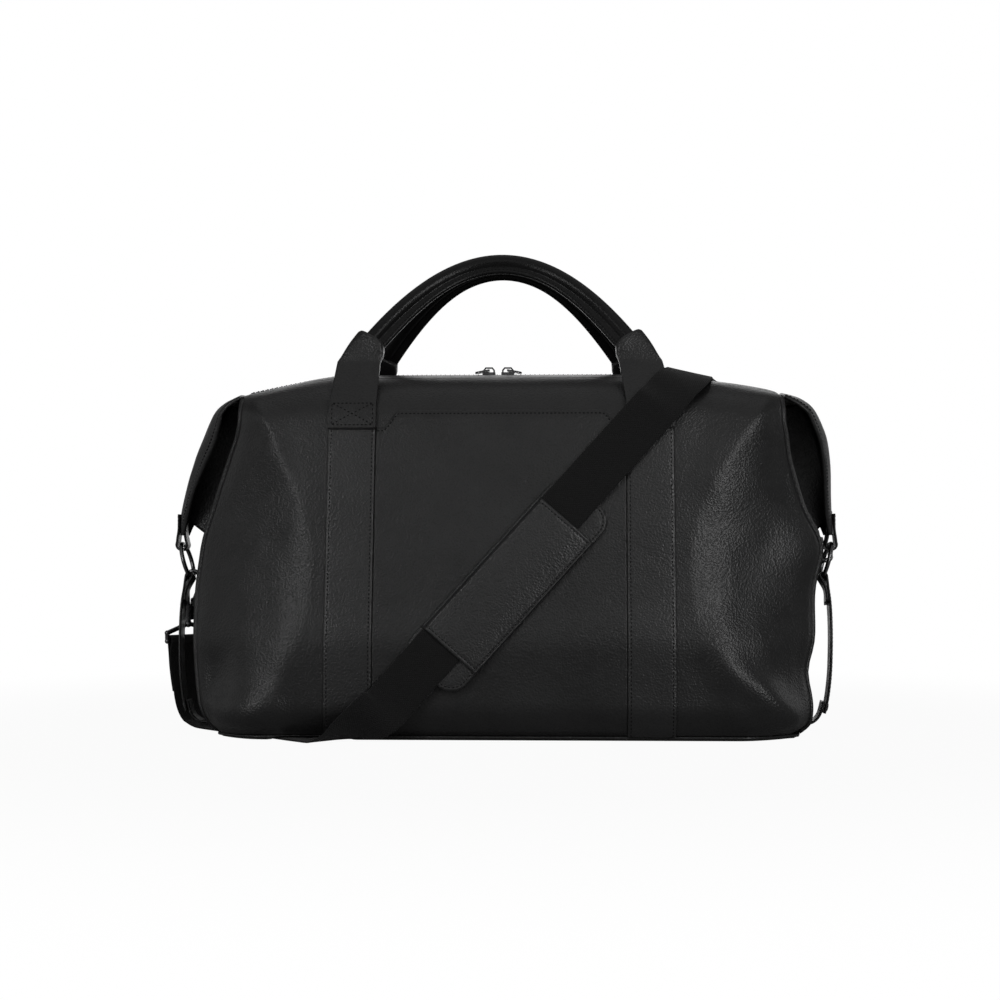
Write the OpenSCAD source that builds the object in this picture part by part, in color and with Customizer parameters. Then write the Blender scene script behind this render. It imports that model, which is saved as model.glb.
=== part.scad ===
// Soft weekender bag with rolled handles, a two-way top zip and a shoulder strap wrapped round the body.
// Millimetres. X runs right, Y to the back, Z up. The origin is the middle of the base, on the floor.

/* [Body] */
// Greatest length of the body, end to end
body_w = 498; // [490:2:506]
// Depth of the body at the foot of its flat front
body_d = 250; // [246:1:252]
// Height of the zip ridge above the floor
body_h = 298; // [296:1:299]
// Thickness of the leather shell
shell_t = 3; // [2:0.5:3]

/* [Straps and handles] */
// Width of the vertical straps
strap_w = 38; // [34:1:40]
// Distance from the middle of the bag to the middle of each vertical strap
strap_x = 119; // [117:1:121]
// Thickness of the vertical straps
strap_t = 2; // [1:0.5:2]
// Radius of the rolled grip
grip_r = 9; // [8:0.5:10]
// Half the span of a handle, between its chapes
grip_x = 103; // [100:1:105]
// Height of the grip's crown above its fold, along the handle
grip_rise = 102; // [95:1:105]
// How far both handles sit off the middle
handle_shift = -2; // [-5:1:0]

/* [Shoulder strap] */
// Width of the webbing
webbing_w = 38; // [30:1:38]
// Thickness of the webbing
webbing_t = 1.5; // [1:0.1:1.5]
// Length of the shoulder pad
pad_l = 190; // [170:5:190]
// Width of the shoulder pad
pad_w = 57; // [56:1:60]
// Length of the sleeve on the pad
sleeve_l = 138; // [130:1:150]

/* [Metal] */
// Radius of a ring, to the middle of its wire
ring_r = 15.5; // [15:0.5:16]
// Radius of the ring's wire
ring_wire = 1.8; // [1.5:0.1:1.8]

/* [Hidden] */
$fn = 48;
leather = "#262626";
webbing_black = "#151515";
gunmetal = "#5c5c60";
cloth = "#3a3a3a";
eps = 0.01;

// Body levels from the base seam to the zip: height, half depth, half length, corner inset and end tuck.
// The half depths between flat_foot and flat_top lie on one leaning plane.
flat_foot = 2;
flat_top = 9;
nominal = [498, 250, 298];
levels = [
    [4, 114, 229, 26, -8], [14, 121, 239, 28, -6], [30, 125, 246, 33, -4], [70, 0, 249, 39, 0],
    [110, 0, 249, 41, 5], [150, 0, 248, 39, 13], [190, 0, 239, 33, 27], [225, 0, 229, 26, 38],
    [248, 0, 224, 19, 45], [262, 86, 222, 14, 48], [274, 77, 222, 10, 48], [284, 65, 222, 7, 44],
    [291, 50, 222, 4, 36], [295, 33, 222, 2, 26], [298, 13, 222, 0, 12]
];
top_level = len(levels) - 1;
seam_level = 12;
zip_half = levels[top_level][1];
base_t = levels[0][0];
flat_x = strap_x + strap_w / 2;
ridge_drop = 18.5;
drop_curve = 1.15;
drop_span = 96;
drop_foot = 200;
corner_round = 2;
end_sag = 10;

function level_z(k) = levels[k][0] * body_h / nominal[2];
function flat_share(k) = (level_z(k) - level_z(flat_foot)) / (level_z(flat_top) - level_z(flat_foot));
function raw_depth(k) = k > flat_foot && k < flat_top
    ? levels[flat_foot][1] + flat_share(k) * (levels[flat_top][1] - levels[flat_foot][1])
    : levels[k][1];
function half_d(k) = k == top_level ? zip_half : raw_depth(k) * body_d / nominal[1];
function half_w(k) = levels[k][2] * body_w / nominal[0];
function corner_d(k) = half_d(k) - levels[k][3];
function tuck(k) = levels[k][4];

// The leaning flat of the front: foot point and lean from upright
flat_y = half_d(flat_foot);
flat_z = level_z(flat_foot);
lean = atan((half_d(flat_foot) - half_d(flat_top)) / (level_z(flat_top) - level_z(flat_foot)));

// Columns round the body: front from left to right, right end, back from right to left, left end.
panel_steps = [0, 0.2, 0.4, 0.6, 0.8, 1];
end_steps = [-0.75, -0.5, -0.25, 0, 0.25, 0.5, 0.75];
n_panel = 2 * len(panel_steps);
n_end = len(end_steps);
n_ring = 2 * n_panel + 2 * n_end;
front_first = 0;
right_first = n_panel;
back_first = n_panel + n_end;
left_first = 2 * n_panel + n_end;

function unit(v) = v / norm(v);
function panel_side(i) = i < len(panel_steps) ? -1 : 1;
function panel_step(i) = i < len(panel_steps) ? panel_steps[len(panel_steps) - 1 - i]
                                              : panel_steps[i - len(panel_steps)];
function drop(x) = abs(x) <= flat_x ? 0 : ridge_drop * pow((abs(x) - flat_x) / drop_span, drop_curve);
function drop_share(z) = z <= drop_foot ? 0 : pow((z - drop_foot) / (body_h - drop_foot), 2);
function settle(p) = [p[0], p[1], p[2] - drop(p[0]) * drop_share(p[2])];

function panel_point(i, k) =
    let (f = panel_step(i), x = flat_x + f * (half_w(k) - flat_x))
    [panel_side(i) * x, -(half_d(k) - levels[k][3] * pow(f, corner_round)), level_z(k)];
function end_point(i, k) =
    let (v = end_steps[i])
    [half_w(k) - tuck(k) * (1 - v * v), v * corner_d(k),
     level_z(k) - end_sag * (1 - v * v) * drop_share(level_z(k))];
function turn_half(p) = [-p[0], -p[1], p[2]];
function ring_point(m, k) =
    m < right_first ? panel_point(m, k) :
    m < back_first ? end_point(m - right_first, k) :
    m < left_first ? turn_half(panel_point(m - back_first, k)) :
    turn_half(end_point(m - left_first, k));

skin = [for (m = [0 : n_ring - 1]) [for (k = [0 : top_level]) settle(ring_point(m, k))]];
function wrap(m) = (m + n_ring) % n_ring;
function around(m, k) = skin[wrap(m + 1)][k] - skin[wrap(m - 1)][k];
function up(m, k) = skin[m][min(k + 1, top_level)] - skin[m][max(k - 1, 0)];
skin_out = [for (m = [0 : n_ring - 1]) [for (k = [0 : top_level]) unit(cross(around(m, k), up(m, k)))]];
function skin_at(m, k, d) = skin[wrap(m)][k] + d * skin_out[wrap(m)][k];

// A sheet of the body between two offsets from its skin, over listed columns and levels
module sheet(columns, rows, d0, d1) {
    ni = len(columns);
    nj = len(rows);
    at = ni * nj;
    function p(i, j) = i * nj + j;
    last = ni - 2;
    points = [for (d = [d1, d0]) for (m = columns) for (k = rows) skin_at(m, k, d)];
    outer = [for (i = [0 : last]) for (j = [0 : nj - 2]) each [
        [p(i, j), p(i, j + 1), p(i + 1, j + 1)], [p(i, j), p(i + 1, j + 1), p(i + 1, j)]]];
    inner = [for (f = outer) [f[0] + at, f[2] + at, f[1] + at]];
    foot = [for (i = [0 : last]) each [
        [p(i, 0), p(i + 1, 0), p(i + 1, 0) + at], [p(i, 0), p(i + 1, 0) + at, p(i, 0) + at]]];
    head = [for (i = [0 : last]) let (a = p(i, nj - 1), b = p(i + 1, nj - 1)) each [
        [b, a, a + at], [b, a + at, b + at]]];
    start = [for (j = [0 : nj - 2]) let (a = p(0, j), b = p(0, j + 1)) each [
        [b, a, a + at], [b, a + at, b + at]]];
    end = [for (j = [0 : nj - 2]) let (a = p(ni - 1, j), b = p(ni - 1, j + 1)) each [
        [a, b, a + at], [b, b + at, a + at]]];
    polyhedron(points, concat(outer, inner, foot, head, start, end));
}

// A solid swept along points, with a flat section in the width and outward directions of each point
module sweep(points, wides, outs, sections) {
    n = len(points);
    s = len(sections[0]);
    verts = [for (i = [0 : n - 1]) for (q = sections[i]) points[i] + q[0] * wides[i] + q[1] * outs[i]];
    function v(i, j) = i * s + j % s;
    sides = [for (i = [0 : n - 2]) for (j = [0 : s - 1]) each [
        [v(i + 1, j + 1), v(i + 1, j), v(i, j)], [v(i + 1, j + 1), v(i, j), v(i, j + 1)]]];
    first = [[for (j = [s - 1 : -1 : 0]) v(0, j)]];
    last = [[for (j = [0 : s - 1]) v(n - 1, j)]];
    polyhedron(verts, concat(sides, first, last));
}

function tangents(points) = [for (i = [0 : len(points) - 1])
    unit(points[min(i + 1, len(points) - 1)] - points[max(i - 1, 0)])];
function flat_section(w, t) = [[w, t] / 2, [-w, t] / 2, [-w, -t] / 2, [w, -t] / 2];
function repeat(x, n) = [for (i = [1 : n]) x];

// A flat ribbon along points, facing the way that its outs point
module ribbon(points, outs, w, t, ends = [undef, undef], halves = undef) {
    n = len(points);
    t0 = tangents(points);
    run = [for (i = [0 : n - 1])
        i == 0 && ends[0] != undef ? ends[0] : i == n - 1 && ends[1] != undef ? ends[1] : t0[i]];
    wides = [for (i = [0 : n - 1]) unit(cross(run[i], outs[i]))];
    squared = [for (i = [0 : n - 1]) cross(wides[i], run[i])];
    sweep(points, wides, squared,
          [for (i = [0 : n - 1]) flat_section(halves == undef ? w : 2 * halves[i], t)]);
}

// Shell panels
panel_rows = [0 : seam_level];
zip_rows = [seam_level : top_level];
end_rows = [0 : seam_level - 1];
function span(first, count) = [for (m = [first : first + count - 1]) m];
function rows(r) = [for (k = r) k];

module front_panel() color(leather) sheet(span(front_first, n_panel), rows(panel_rows), -shell_t, 0);
module back_panel() color(leather) sheet(span(back_first, n_panel), rows(panel_rows), -shell_t, 0);
module front_zip_panel() color(leather) sheet(span(front_first, n_panel), rows(zip_rows), -shell_t, 0);
module back_zip_panel() color(leather) sheet(span(back_first, n_panel), rows(zip_rows), -shell_t, 0);
module right_gusset() color(leather) sheet(span(right_first - 1, n_end + 2), rows(end_rows), -shell_t, 0);
module left_gusset() color(leather) sheet(span(left_first - 1, n_end + 2), rows(end_rows), -shell_t, 0);

// Base, welt, stiffening board and lining
base_outline = [for (m = [0 : n_ring - 1]) [skin[m][0][0], skin[m][0][1]]];
welt_w = 2.5;
welt_outline = [for (m = [0 : n_ring - 1])
    let (o = skin_out[m][0]) base_outline[m] + welt_w * unit([o[0], o[1]])];
welt_foot = 0.8;
groove_depth = 3;
groove_spare = 4;
groove_over = 40;
board_gap = 0.4;
board_t = 2.5;
board_scale = 0.94;
lining_t = 1;
lining_round = 30;
lining_z = [18, 235];
lining_foot = [444, 210];
lining_head = [336, 152];

module strap_groove() {
    a = webbing_route_left[8];
    b = webbing_route_left[11];
    along = b - a;
    translate([a[0], a[1], groove_depth / 2 - eps])
        rotate([0, 0, atan2(along[1], along[0])])
            translate([norm(along) / 2, 0, 0])
                cube([norm(along) + 2 * groove_over, webbing_w + groove_spare, groove_depth], center = true);
}

module base_panel() color(leather) difference() {
    linear_extrude(base_t) polygon(base_outline);
    strap_groove();
}

module base_welt() color(leather) difference() {
    translate([0, 0, welt_foot]) linear_extrude(base_t - welt_foot) difference() {
        polygon(welt_outline);
        polygon(base_outline);
    }
    strap_groove();
}

module base_board() color(cloth)
    translate([0, 0, base_t + board_gap])
        linear_extrude(board_t) polygon(base_outline * board_scale);

module lining() color(cloth) translate([0, 0, lining_z[0]])
    linear_extrude(lining_z[1] - lining_z[0], scale = [for (i = [0, 1]) lining_head[i] / lining_foot[i]])
        difference() {
            round_rect(lining_foot[0], lining_foot[1], lining_round);
            round_rect(lining_foot[0] - 2 * lining_t, lining_foot[1] - 2 * lining_t, lining_round - lining_t);
        }

// Profile of the body in depth and height, offset outwards, for the pieces sewn on its flat middle
function depth_point(k) = [-half_d(k), level_z(k)];
function edge_normal(a, b) = let (e = unit(b - a)) [-e[1], e[0]];
function miter(k) =
    let (n0 = edge_normal(depth_point(max(k - 1, 0)), depth_point(max(k, 1))),
         n1 = edge_normal(depth_point(min(k, top_level - 1)), depth_point(min(k + 1, top_level))))
    (n0 + n1) / (1 + n0 * n1);
function proud(k, d) = depth_point(k) + d * miter(k);
flat_normal = edge_normal(depth_point(flat_foot), depth_point(flat_top));
function on_flat(z, d) = [-(flat_y - (z - flat_z) * tan(lean)), z] + d * flat_normal;

module across(x, w) translate([x - w / 2, 0, 0]) rotate([90, 0, 90]) linear_extrude(w) children();
module behind() mirror([0, 1, 0]) children();

// Vertical straps, from the base seam to the sewn tabs
strap_rows = [flat_top + 2, flat_top + 1, flat_top, flat_foot, flat_foot - 1];
function at_height(a, b, z) = a + (b - a) * (z - a[1]) / (b[1] - a[1]);
strap_foot = at_height(proud(0, strap_t), proud(1, strap_t), level_z(0));
module vertical_strap(side) color(leather)
    across(side * strap_x, strap_w)
        polygon(concat([for (i = [len(strap_rows) - 1 : -1 : 0]) proud(strap_rows[i], 0)],
                       [for (k = strap_rows) proud(k, strap_t)], [strap_foot, proud(0, 0)]));
module front_left_strap() vertical_strap(-1);
module front_right_strap() vertical_strap(1);
module back_left_strap() behind() vertical_strap(-1);
module back_right_strap() behind() vertical_strap(1);

// Front slip pocket, on the flat of the front between the straps
pocket_t = 1.5;
pocket_foot = 31;
pocket_top = 262;
pocket_cut = 14;
pocket_gap = 0.2;
module on_front() translate([0, -flat_y, flat_z]) rotate([90 - lean, 0, 0]) children();
function up_flat(z) = (z - flat_z) / cos(lean);
pocket_x = strap_x - strap_w / 2 - pocket_gap;
module front_pocket() color(leather) on_front()
    linear_extrude(pocket_t) polygon([
        [-pocket_x, up_flat(pocket_foot)], [pocket_x, up_flat(pocket_foot)],
        [pocket_x, up_flat(pocket_top - pocket_cut)], [pocket_x - pocket_cut, up_flat(pocket_top)],
        [-pocket_x + pocket_cut, up_flat(pocket_top)], [-pocket_x, up_flat(pocket_top - pocket_cut)]]);

// Handles: a fold line along X on each side, and a grip that leans in from it
fold_y = -62;
fold_z = 303;
fold_r = 2.5;
handle_lean = 29.3;
chape_x = 114.5;
chape_w = 35;
tab_foot = 246;
tab_t = 2;
tab_head = 299;
tab_head_t = 4;
collar_r = grip_r + 1.2;
collar_l = 8;
grip_sides = 14;
grip_rings = 26;
end_rise = 24.7;
end_x = 103;
grip_drop = (grip_rise - end_rise) / pow(end_x, 2);
sewn_top = flat_top + 2;

module sewn_tab(side) color(leather) {
    d0 = strap_t;
    d1 = strap_t + tab_t;
    up = [flat_top : sewn_top];
    down = [sewn_top : -1 : flat_top];
    across(side * strap_x, strap_w)
        polygon(concat([on_flat(tab_foot, d0), on_flat(tab_foot, d1)],
                       [for (k = up) proud(k, d1)], [for (k = down) proud(k, d0)]));
    hull() {
        across(side * strap_x, strap_w)
            polygon([proud(sewn_top, d0), proud(sewn_top, d1), proud(sewn_top - 1, d1)]);
        across(side * chape_x + handle_shift, chape_w)
            translate([fold_y - tab_head_t, tab_head - 1]) square([tab_head_t, 1]);
    }
}
module front_left_tab() sewn_tab(-1);
module front_right_tab() sewn_tab(1);
module back_left_tab() behind() sewn_tab(-1);
module back_right_tab() behind() sewn_tab(1);

// Handle frame: X along the fold, Y up the handle, Z outwards
module on_handle() translate([handle_shift, fold_y, fold_z]) rotate([90 - handle_lean, 0, 0]) children();
function grip_point(x) = [x, grip_rise - grip_drop * x * x, 0];
function grip_slope(x) = unit([1, -2 * grip_drop * x, 0]);

module grip() color(leather) on_handle() {
    xs = [for (i = [0 : grip_rings]) grip_x * (2 * i / grip_rings - 1)];
    section = [for (j = [0 : grip_sides - 1]) grip_r * [cos(360 * j / grip_sides), sin(360 * j / grip_sides)]];
    sweep([for (x = xs) grip_point(x)], [for (x = xs) cross(grip_slope(x), [0, 0, 1])],
          repeat([0, 0, 1], len(xs)), repeat(section, len(xs)));
}

module chape(side) color(leather) on_handle() {
    e = grip_slope(side * grip_x);
    end = grip_point(side * grip_x) + side * e * (collar_l / 2 + eps);
    hull() {
        translate([side * chape_x - chape_w / 2, 0, 0])
            rotate([0, 90, 0]) cylinder(r = fold_r, h = chape_w, $fn = 24);
        translate(end) rotate([0, 0, atan2(e[1], e[0])])
            rotate([0, 90, 0]) cylinder(r = collar_r, h = collar_l, center = true, $fn = 28);
    }
}
module front_grip() grip();
module back_grip() behind() grip();
module front_left_chape() chape(-1);
module front_right_chape() chape(1);
module back_left_chape() behind() chape(-1);
module back_right_chape() behind() chape(1);

// Zip: two tapes, a chain with a rail section, two sliders and their pulls
tape_t = 1.5;
tape_sunk = 1.3;
tape_top = body_h - tape_sunk;
tape_in = 1.9;
tape_out = zip_half - 0.6;
tape_end = 221;
chain_neck = 1.6;
chain_half = 3;
waist_up = 0.2;
chain_up = 1.6;
chain_foot = tape_top - tape_t;
chain_waist = body_h + waist_up;
chain_top = body_h + chain_up;
chain_end = 132;
tape_steps = [0.7, 0.8, 0.9, 1];
tape_x = concat([for (i = [3 : -1 : 0]) -tape_steps[i] * tape_end], [-flat_x, flat_x],
                [for (f = tape_steps) f * tape_end]);

module zip_tape(side) color(webbing_black)
    sweep([for (x = tape_x) [x, side * (tape_in + tape_out) / 2, tape_top - tape_t / 2 - drop(x)]],
          repeat([0, -1, 0], len(tape_x)), repeat([0, 0, 1], len(tape_x)),
          repeat(flat_section(tape_out - tape_in, tape_t), len(tape_x)));
module front_zip_tape() zip_tape(-1);
module back_zip_tape() zip_tape(1);

module zip_chain() color(webbing_black)
    across(0, 2 * chain_end) polygon([
        [-chain_neck, chain_foot], [chain_neck, chain_foot], [chain_neck, chain_waist],
        [chain_half, chain_waist], [chain_half, chain_top], [-chain_half, chain_top],
        [-chain_half, chain_waist], [-chain_neck, chain_waist]]);

slider_x = 8;
slider_mid = -5;
slider_l = 11;
slider_w = 10;
slide_gap = 0.4;
slider_roof = 1.2;
lip_gap = 0.5;
slider_top = chain_top + slide_gap + slider_roof;
lip_foot = tape_top + lip_gap;
bridge_outer = [[-5, 0], [-5, 2.2], [-3, 4.6], [3, 4.6], [5, 2.2], [5, 0]];
bridge_inner = [[3.6, 0], [3.6, 1.9], [2.4, 3.4], [-2.4, 3.4], [-3.6, 1.9], [-3.6, 0]];
bridge_t = 3;
pin_up = 1.8;
pin_z = slider_top + pin_up;
pin_r = 0.8;
pull_l = 8;
pull_w = 8;
pull_t = 1.6;
pull_arm = 2;
pull_slot = 6.7;
pull_slot_x = 1.15;
pull_hole = 3;
pull_hole_x = -5.2;
pull_droop = 10;

module slider() color(gunmetal) {
    across(0, slider_l) difference() {
        translate([-slider_w / 2, lip_foot]) square([slider_w, slider_top - lip_foot]);
        translate([-chain_half - slide_gap, chain_waist - slide_gap])
            square([2 * (chain_half + slide_gap), chain_top - chain_waist + 2 * slide_gap]);
        translate([-chain_neck - slide_gap, lip_foot - 1])
            square([2 * (chain_neck + slide_gap), chain_waist - lip_foot + 1]);
    }
    translate([0, bridge_t / 2, slider_top]) rotate([90, 0, 0])
        linear_extrude(bridge_t) polygon(concat(bridge_outer, bridge_inner));
}

// A pull that lies outwards from its pin, along -X
module pull() color(gunmetal) rotate([0, -pull_droop, 0]) {
    rotate([90, 0, 0]) cylinder(r = pin_r, h = pull_w, center = true);
    translate([-pull_l / 2, 0, -pull_t / 2]) linear_extrude(pull_t) difference() {
        union() {
            square([pull_l, pull_w], center = true);
            translate([-pull_l / 2, 0]) circle(d = pull_w);
        }
        translate([pull_slot_x, 0]) square([pull_slot, pull_w - 2 * pull_arm], center = true);
        translate([pull_hole_x, 0]) circle(d = pull_hole);
    }
}
module left_slider() translate([slider_mid - slider_x, 0, 0]) slider();
module right_slider() translate([slider_mid + slider_x, 0, 0]) mirror([1, 0, 0]) slider();
module left_pull() translate([slider_mid - slider_x, 0, pin_z]) pull();
module right_pull() translate([slider_mid + slider_x, 0, pin_z]) mirror([1, 0, 0]) pull();

// Wings: the ends of the zip panels, arched over the ends of the bag and drooping to the rings
wing_t = 2.5;
wing_path = [[224, 281.5], [232, 280], [241, 277], [251, 270], [258.5, 258], [266.5, 236], [271.5, 215.5],
             [274.5, 194], [276.5, 176], [276.5, 163]];
wing_tip = wing_path[len(wing_path) - 1][0];
wing_half = [55, 56, 56, 55, 52, 44, 35, 25, 15, 9.5];
wing_arch = [6, 10, 15, 19, 20, 19, 16, 12, 6, 2];
arch_steps = [1, 0.7, 0.35, 0, -0.35, -0.7, -1];
function wing_section(i) = concat(
    [for (v = arch_steps) [v * wing_half[i], -wing_arch[i] * v * v]],
    [for (v = -arch_steps) [v * wing_half[i], -wing_arch[i] * v * v - wing_t]]);

module wing() color(leather) {
    pts = [for (q = wing_path) [q[0], 0, q[1]]];
    run = tangents(pts);
    sweep(pts, repeat([0, -1, 0], len(pts)), [for (d = run) [-d[2], 0, d[0]]],
          [for (i = [0 : len(pts) - 1]) wing_section(i)]);
}
module right_wing() wing();
module left_wing() mirror([1, 0, 0]) wing();

// Rings, hung in their tabs with the foot tilted in
ring_x = 271.5;
ring_z = 141;
ring_tilt = 15.4;
tab_bore = 3.4;
tab_wall = 2;
ring_tab_w = 14;
ring_tab_foot = 157;
ring_tab_head = 162.6;
ring_tab_bite = 0.3;
loop_sink = 0.9;

module ring_place(side) translate([side * ring_x, 0, ring_z]) rotate([0, side * ring_tilt, 0]) children();
module ring(side) color(gunmetal) ring_place(side)
    rotate([0, 90, 0]) rotate_extrude() translate([ring_r, 0]) circle(r = ring_wire, $fn = 24);
module left_ring() ring(-1);
module right_ring() ring(1);

// A leather loop round the ring's wire, at an angle round the ring from its top
module ring_loop(w) difference() {
    translate([0, 0, ring_r - loop_sink]) rotate([90, 0, 0])
        cylinder(r = tab_bore + tab_wall, h = w, center = true);
    loop_bore(w);
}
module loop_bore(w) translate([0, 0, ring_r - loop_sink]) rotate([90, 0, 0])
    cylinder(r = tab_bore, h = w + 2, center = true);

module ring_tab(side) color(leather) {
    ring_place(side) ring_loop(ring_tab_w);
    difference() {
        translate([side * (wing_tip - wing_t / 2), 0, (ring_tab_foot + ring_tab_head) / 2])
            cube([wing_t, ring_tab_w, ring_tab_head - ring_tab_foot], center = true);
        ring_place(side) translate([0, 0, ring_r - loop_sink]) rotate([90, 0, 0])
            cylinder(r = tab_bore + tab_wall - ring_tab_bite, h = ring_tab_w + 2, center = true);
    }
}
module left_ring_tab() ring_tab(-1);
module right_ring_tab() ring_tab(1);

// Side straps, from a loop on the ring's foot down to a riveted tab at the base
side_w = 16;
side_t = 2;
side_loop_w = 9;
side_loop_angle = 155;
side_route = [[272.3, -6.5, 126.5], [273.4, -8, 117], [273.6, -11, 106], [273.4, -15, 92], [272.6, -19, 72],
              [271, -22, 48], [268.8, -22, 28], [266, -22, 15]];
side_half = [4.5, 6, 8, 8, 8, 8, 8, 8];
side_out = [1, 0, 0.3];
base_tab_outs = [[0, 0, 1], [0, 0, 1], [-0.4, 0, 0.9], [-0.8, 0, 0.5], [-1, 0, 0.2]];
base_tab_route = [[241, -22, 8], [248.5, -22, 6.5], [256, -22, 7.5], [262, -22, 13.5], [265.4, -22, 25]];
rivet_r = 4;
rivet_crown = 3;
rivet_t = 1.4;
rivet_at = [268.3, -22, 19.8];
rivet_turn = 102;

module side_strap() color(leather) {
    ring_place(1) rotate([side_loop_angle, 0, 0]) ring_loop(side_loop_w);
    difference() {
        ribbon(side_route, repeat(side_out, len(side_route)), side_w, side_t, halves = side_half);
        ring_place(1) rotate([side_loop_angle, 0, 0]) loop_bore(side_w);
    }
}
module right_side_strap() side_strap();
module left_side_strap() mirror([1, 0, 0]) side_strap();

module base_tab() color(leather)
    ribbon(base_tab_route, base_tab_outs, side_w, side_t);
module right_base_tab() base_tab();
module left_base_tab() mirror([1, 0, 0]) base_tab();

module rivet() translate(rivet_at) rotate([0, rivet_turn, 0])
    cylinder(r1 = rivet_r, r2 = rivet_crown, h = rivet_t);
module side_rivets() color(gunmetal) {
    rivet();
    mirror([1, 0, 0]) rivet();
}

// Shoulder strap: its route, with the way that its outer face looks at each point
pad_lift = 2.3;
pad_base_t = 2;
pad_gap = 0.4;
webbing_lift = pad_lift + pad_base_t + pad_gap + webbing_t / 2;
run_foot = [-84, 32];
run_head = [119, 258];
function front_point(q) = let (f = on_flat(q[1], webbing_lift)) [q[0], f[0], f[1]];
front_out = [0, flat_normal[0], flat_normal[1]];
run_dir = unit(front_point(run_head) - front_point(run_foot));

webbing_route_left = [
    [-273, 11, 71], [-273, 11, 61], [-272, 11, 48], [-270, 11, 34], [-268, 9.5, 22], [-264, 6, 12],
    [-258, 2, 5.4], [-249, -7, 1.8], [-238, -18, 1], [-205, -51, 1], [-170, -86, 1], [-145, -111, 1],
    [-134, -121, 1.6], [-123, -129, 5.4], [-112, -132.5, 13.5], front_point(run_foot) - 11 * run_dir,
    front_point(run_foot)];
left_outs = [
    [-0.7, 0.7, 0.1], [-0.7, 0.7, 0.1], [-0.7, 0.7, 0.1], [-0.7, 0.7, 0], [-0.7, 0.7, -0.2],
    [-0.6, 0.6, -0.5], [-0.4, 0.4, -0.8], [-0.1, 0.1, -1], [0, 0, -1], [0, 0, -1], [0, 0, -1],
    [0, 0, -1], [0, 0, -1], [0, -0.2, -0.95], [0, -0.6, -0.75], front_out, front_out];
webbing_route_back = [
    front_point(run_head), front_point(run_head) + 9 * run_dir, [132, -87, 274], [140.8, -80.4, 284.6],
    [149.5, -69.6, 293], [153.5, -54.6, 299.2], [155, -38, 300.8], [157, -18, 301], [160.5, 4, 300.5],
    [167, 26, 299], [175.5, 47, 294], [185, 64, 285], [195, 78, 271], [206, 86, 254], [220, 88.5, 236],
    [235, 85.5, 219], [250, 79, 203], [260, 71.5, 190], [265, 65, 182], [266, 61, 178.5]];
back_outs = [
    front_out, front_out, [0, -0.95, 0.4], [0.1, -0.8, 0.6], [0.15, -0.6, 0.8], [0.2, -0.35, 0.9],
    [0.2, -0.15, 0.95], [0.2, 0, 0.95], [0.2, 0.1, 0.95], [0.2, 0.25, 0.95], [0.2, 0.5, 0.85], [0.2, 0.7, 0.7],
    [0.25, 0.85, 0.5], [0.4, 0.9, 0.25], [0.55, 0.85, 0.1], [0.65, 0.75, 0], [0.7, 0.7, -0.1],
    [0.7, 0.6, -0.3], [0.7, 0.55, -0.4], [0.7, 0.5, -0.5]];

module webbing_left() color(webbing_black)
    ribbon(webbing_route_left, left_outs, webbing_w, webbing_t, [undef, run_dir]);
module webbing_back() color(webbing_black)
    ribbon(webbing_route_back, back_outs, webbing_w, webbing_t, [run_dir, undef]);

// Frame of the straight run: X along the webbing, Z outwards from the front
run_mid = (run_foot + run_head) / 2;
run_l = norm(front_point(run_head) - front_point(run_foot));
run_turn = atan2(up_flat(run_head[1]) - up_flat(run_foot[1]), run_head[0] - run_foot[0]);
module on_run() translate(front_point(run_mid)) rotate([90 - lean, 0, 0]) rotate([0, 0, run_turn]) children();
module webbing_front() color(webbing_black) on_run() cube([run_l, webbing_w, webbing_t], center = true);

// Shoulder pad: a base layer behind the webbing and a sleeve over it
pad_along = -25;
pad_across = -7;
pad_round = 16;
sleeve_wall = 2;
sleeve_slot = webbing_w + 1;
pad_foot = -webbing_t / 2 - pad_gap - pad_base_t;
sleeve_foot = pad_foot + pad_base_t;
sleeve_roof = webbing_t / 2 + pad_gap;

module round_rect(l, w, r) {
    square([l - 2 * r, w], center = true);
    square([l, w - 2 * r], center = true);
    for (x = [-1, 1], y = [-1, 1]) translate([x * (l / 2 - r), y * (w / 2 - r)]) circle(r = r);
}
module pad_base() color(leather) on_run() translate([pad_along, pad_across, pad_foot])
    linear_extrude(pad_base_t) round_rect(pad_l, pad_w, pad_round);
module pad_sleeve() color(leather) on_run() translate([pad_along, 0, 0]) difference() {
    translate([0, pad_across, sleeve_foot]) linear_extrude(sleeve_roof - sleeve_foot + sleeve_wall)
        square([sleeve_l, pad_w], center = true);
    translate([0, 0, (sleeve_foot + sleeve_roof) / 2 - 1])
        cube([sleeve_l + 2, sleeve_slot, sleeve_roof - sleeve_foot + 2], center = true);
}

// Swivel snap hooks. Local Z runs up the shank to the bow, local X towards the nose
hook_wire = 2;
bow_r = 5.5;
bow_z = 22;
barrel_r = 6;
barrel_l = 14;
nose_r = 2.3;
nose_drop = 3;
swivel_bore = 2.8;
swivel_pin = 2.4;
head_r = 3.8;
head_l = 3;
head_gap = 0.4;
neck_l = 4;
eye_turn = 45;
eye_half = 21;
eye_wire = 2;
eye_z = -31;
shoulder_z = -24;
eye_crown = -18;
crown_r = 3.2;
knuckle_r = 2.3;
shoulder_turn = 90 + atan2(eye_crown - shoulder_z, eye_half);
shoulder_l = norm([eye_half, eye_crown - shoulder_z]);
gate_foot = [5.2, 3];
gate_head = [10.6, 15.6];
gate_r = 1.4;
gate_pin = 1;
gate_pin_l = 6.4;
pin_gap = 0.05;
ear_y = 2.6;
ear_t = 1.4;
ear_r = 2;
ear_l = 6;

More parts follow.
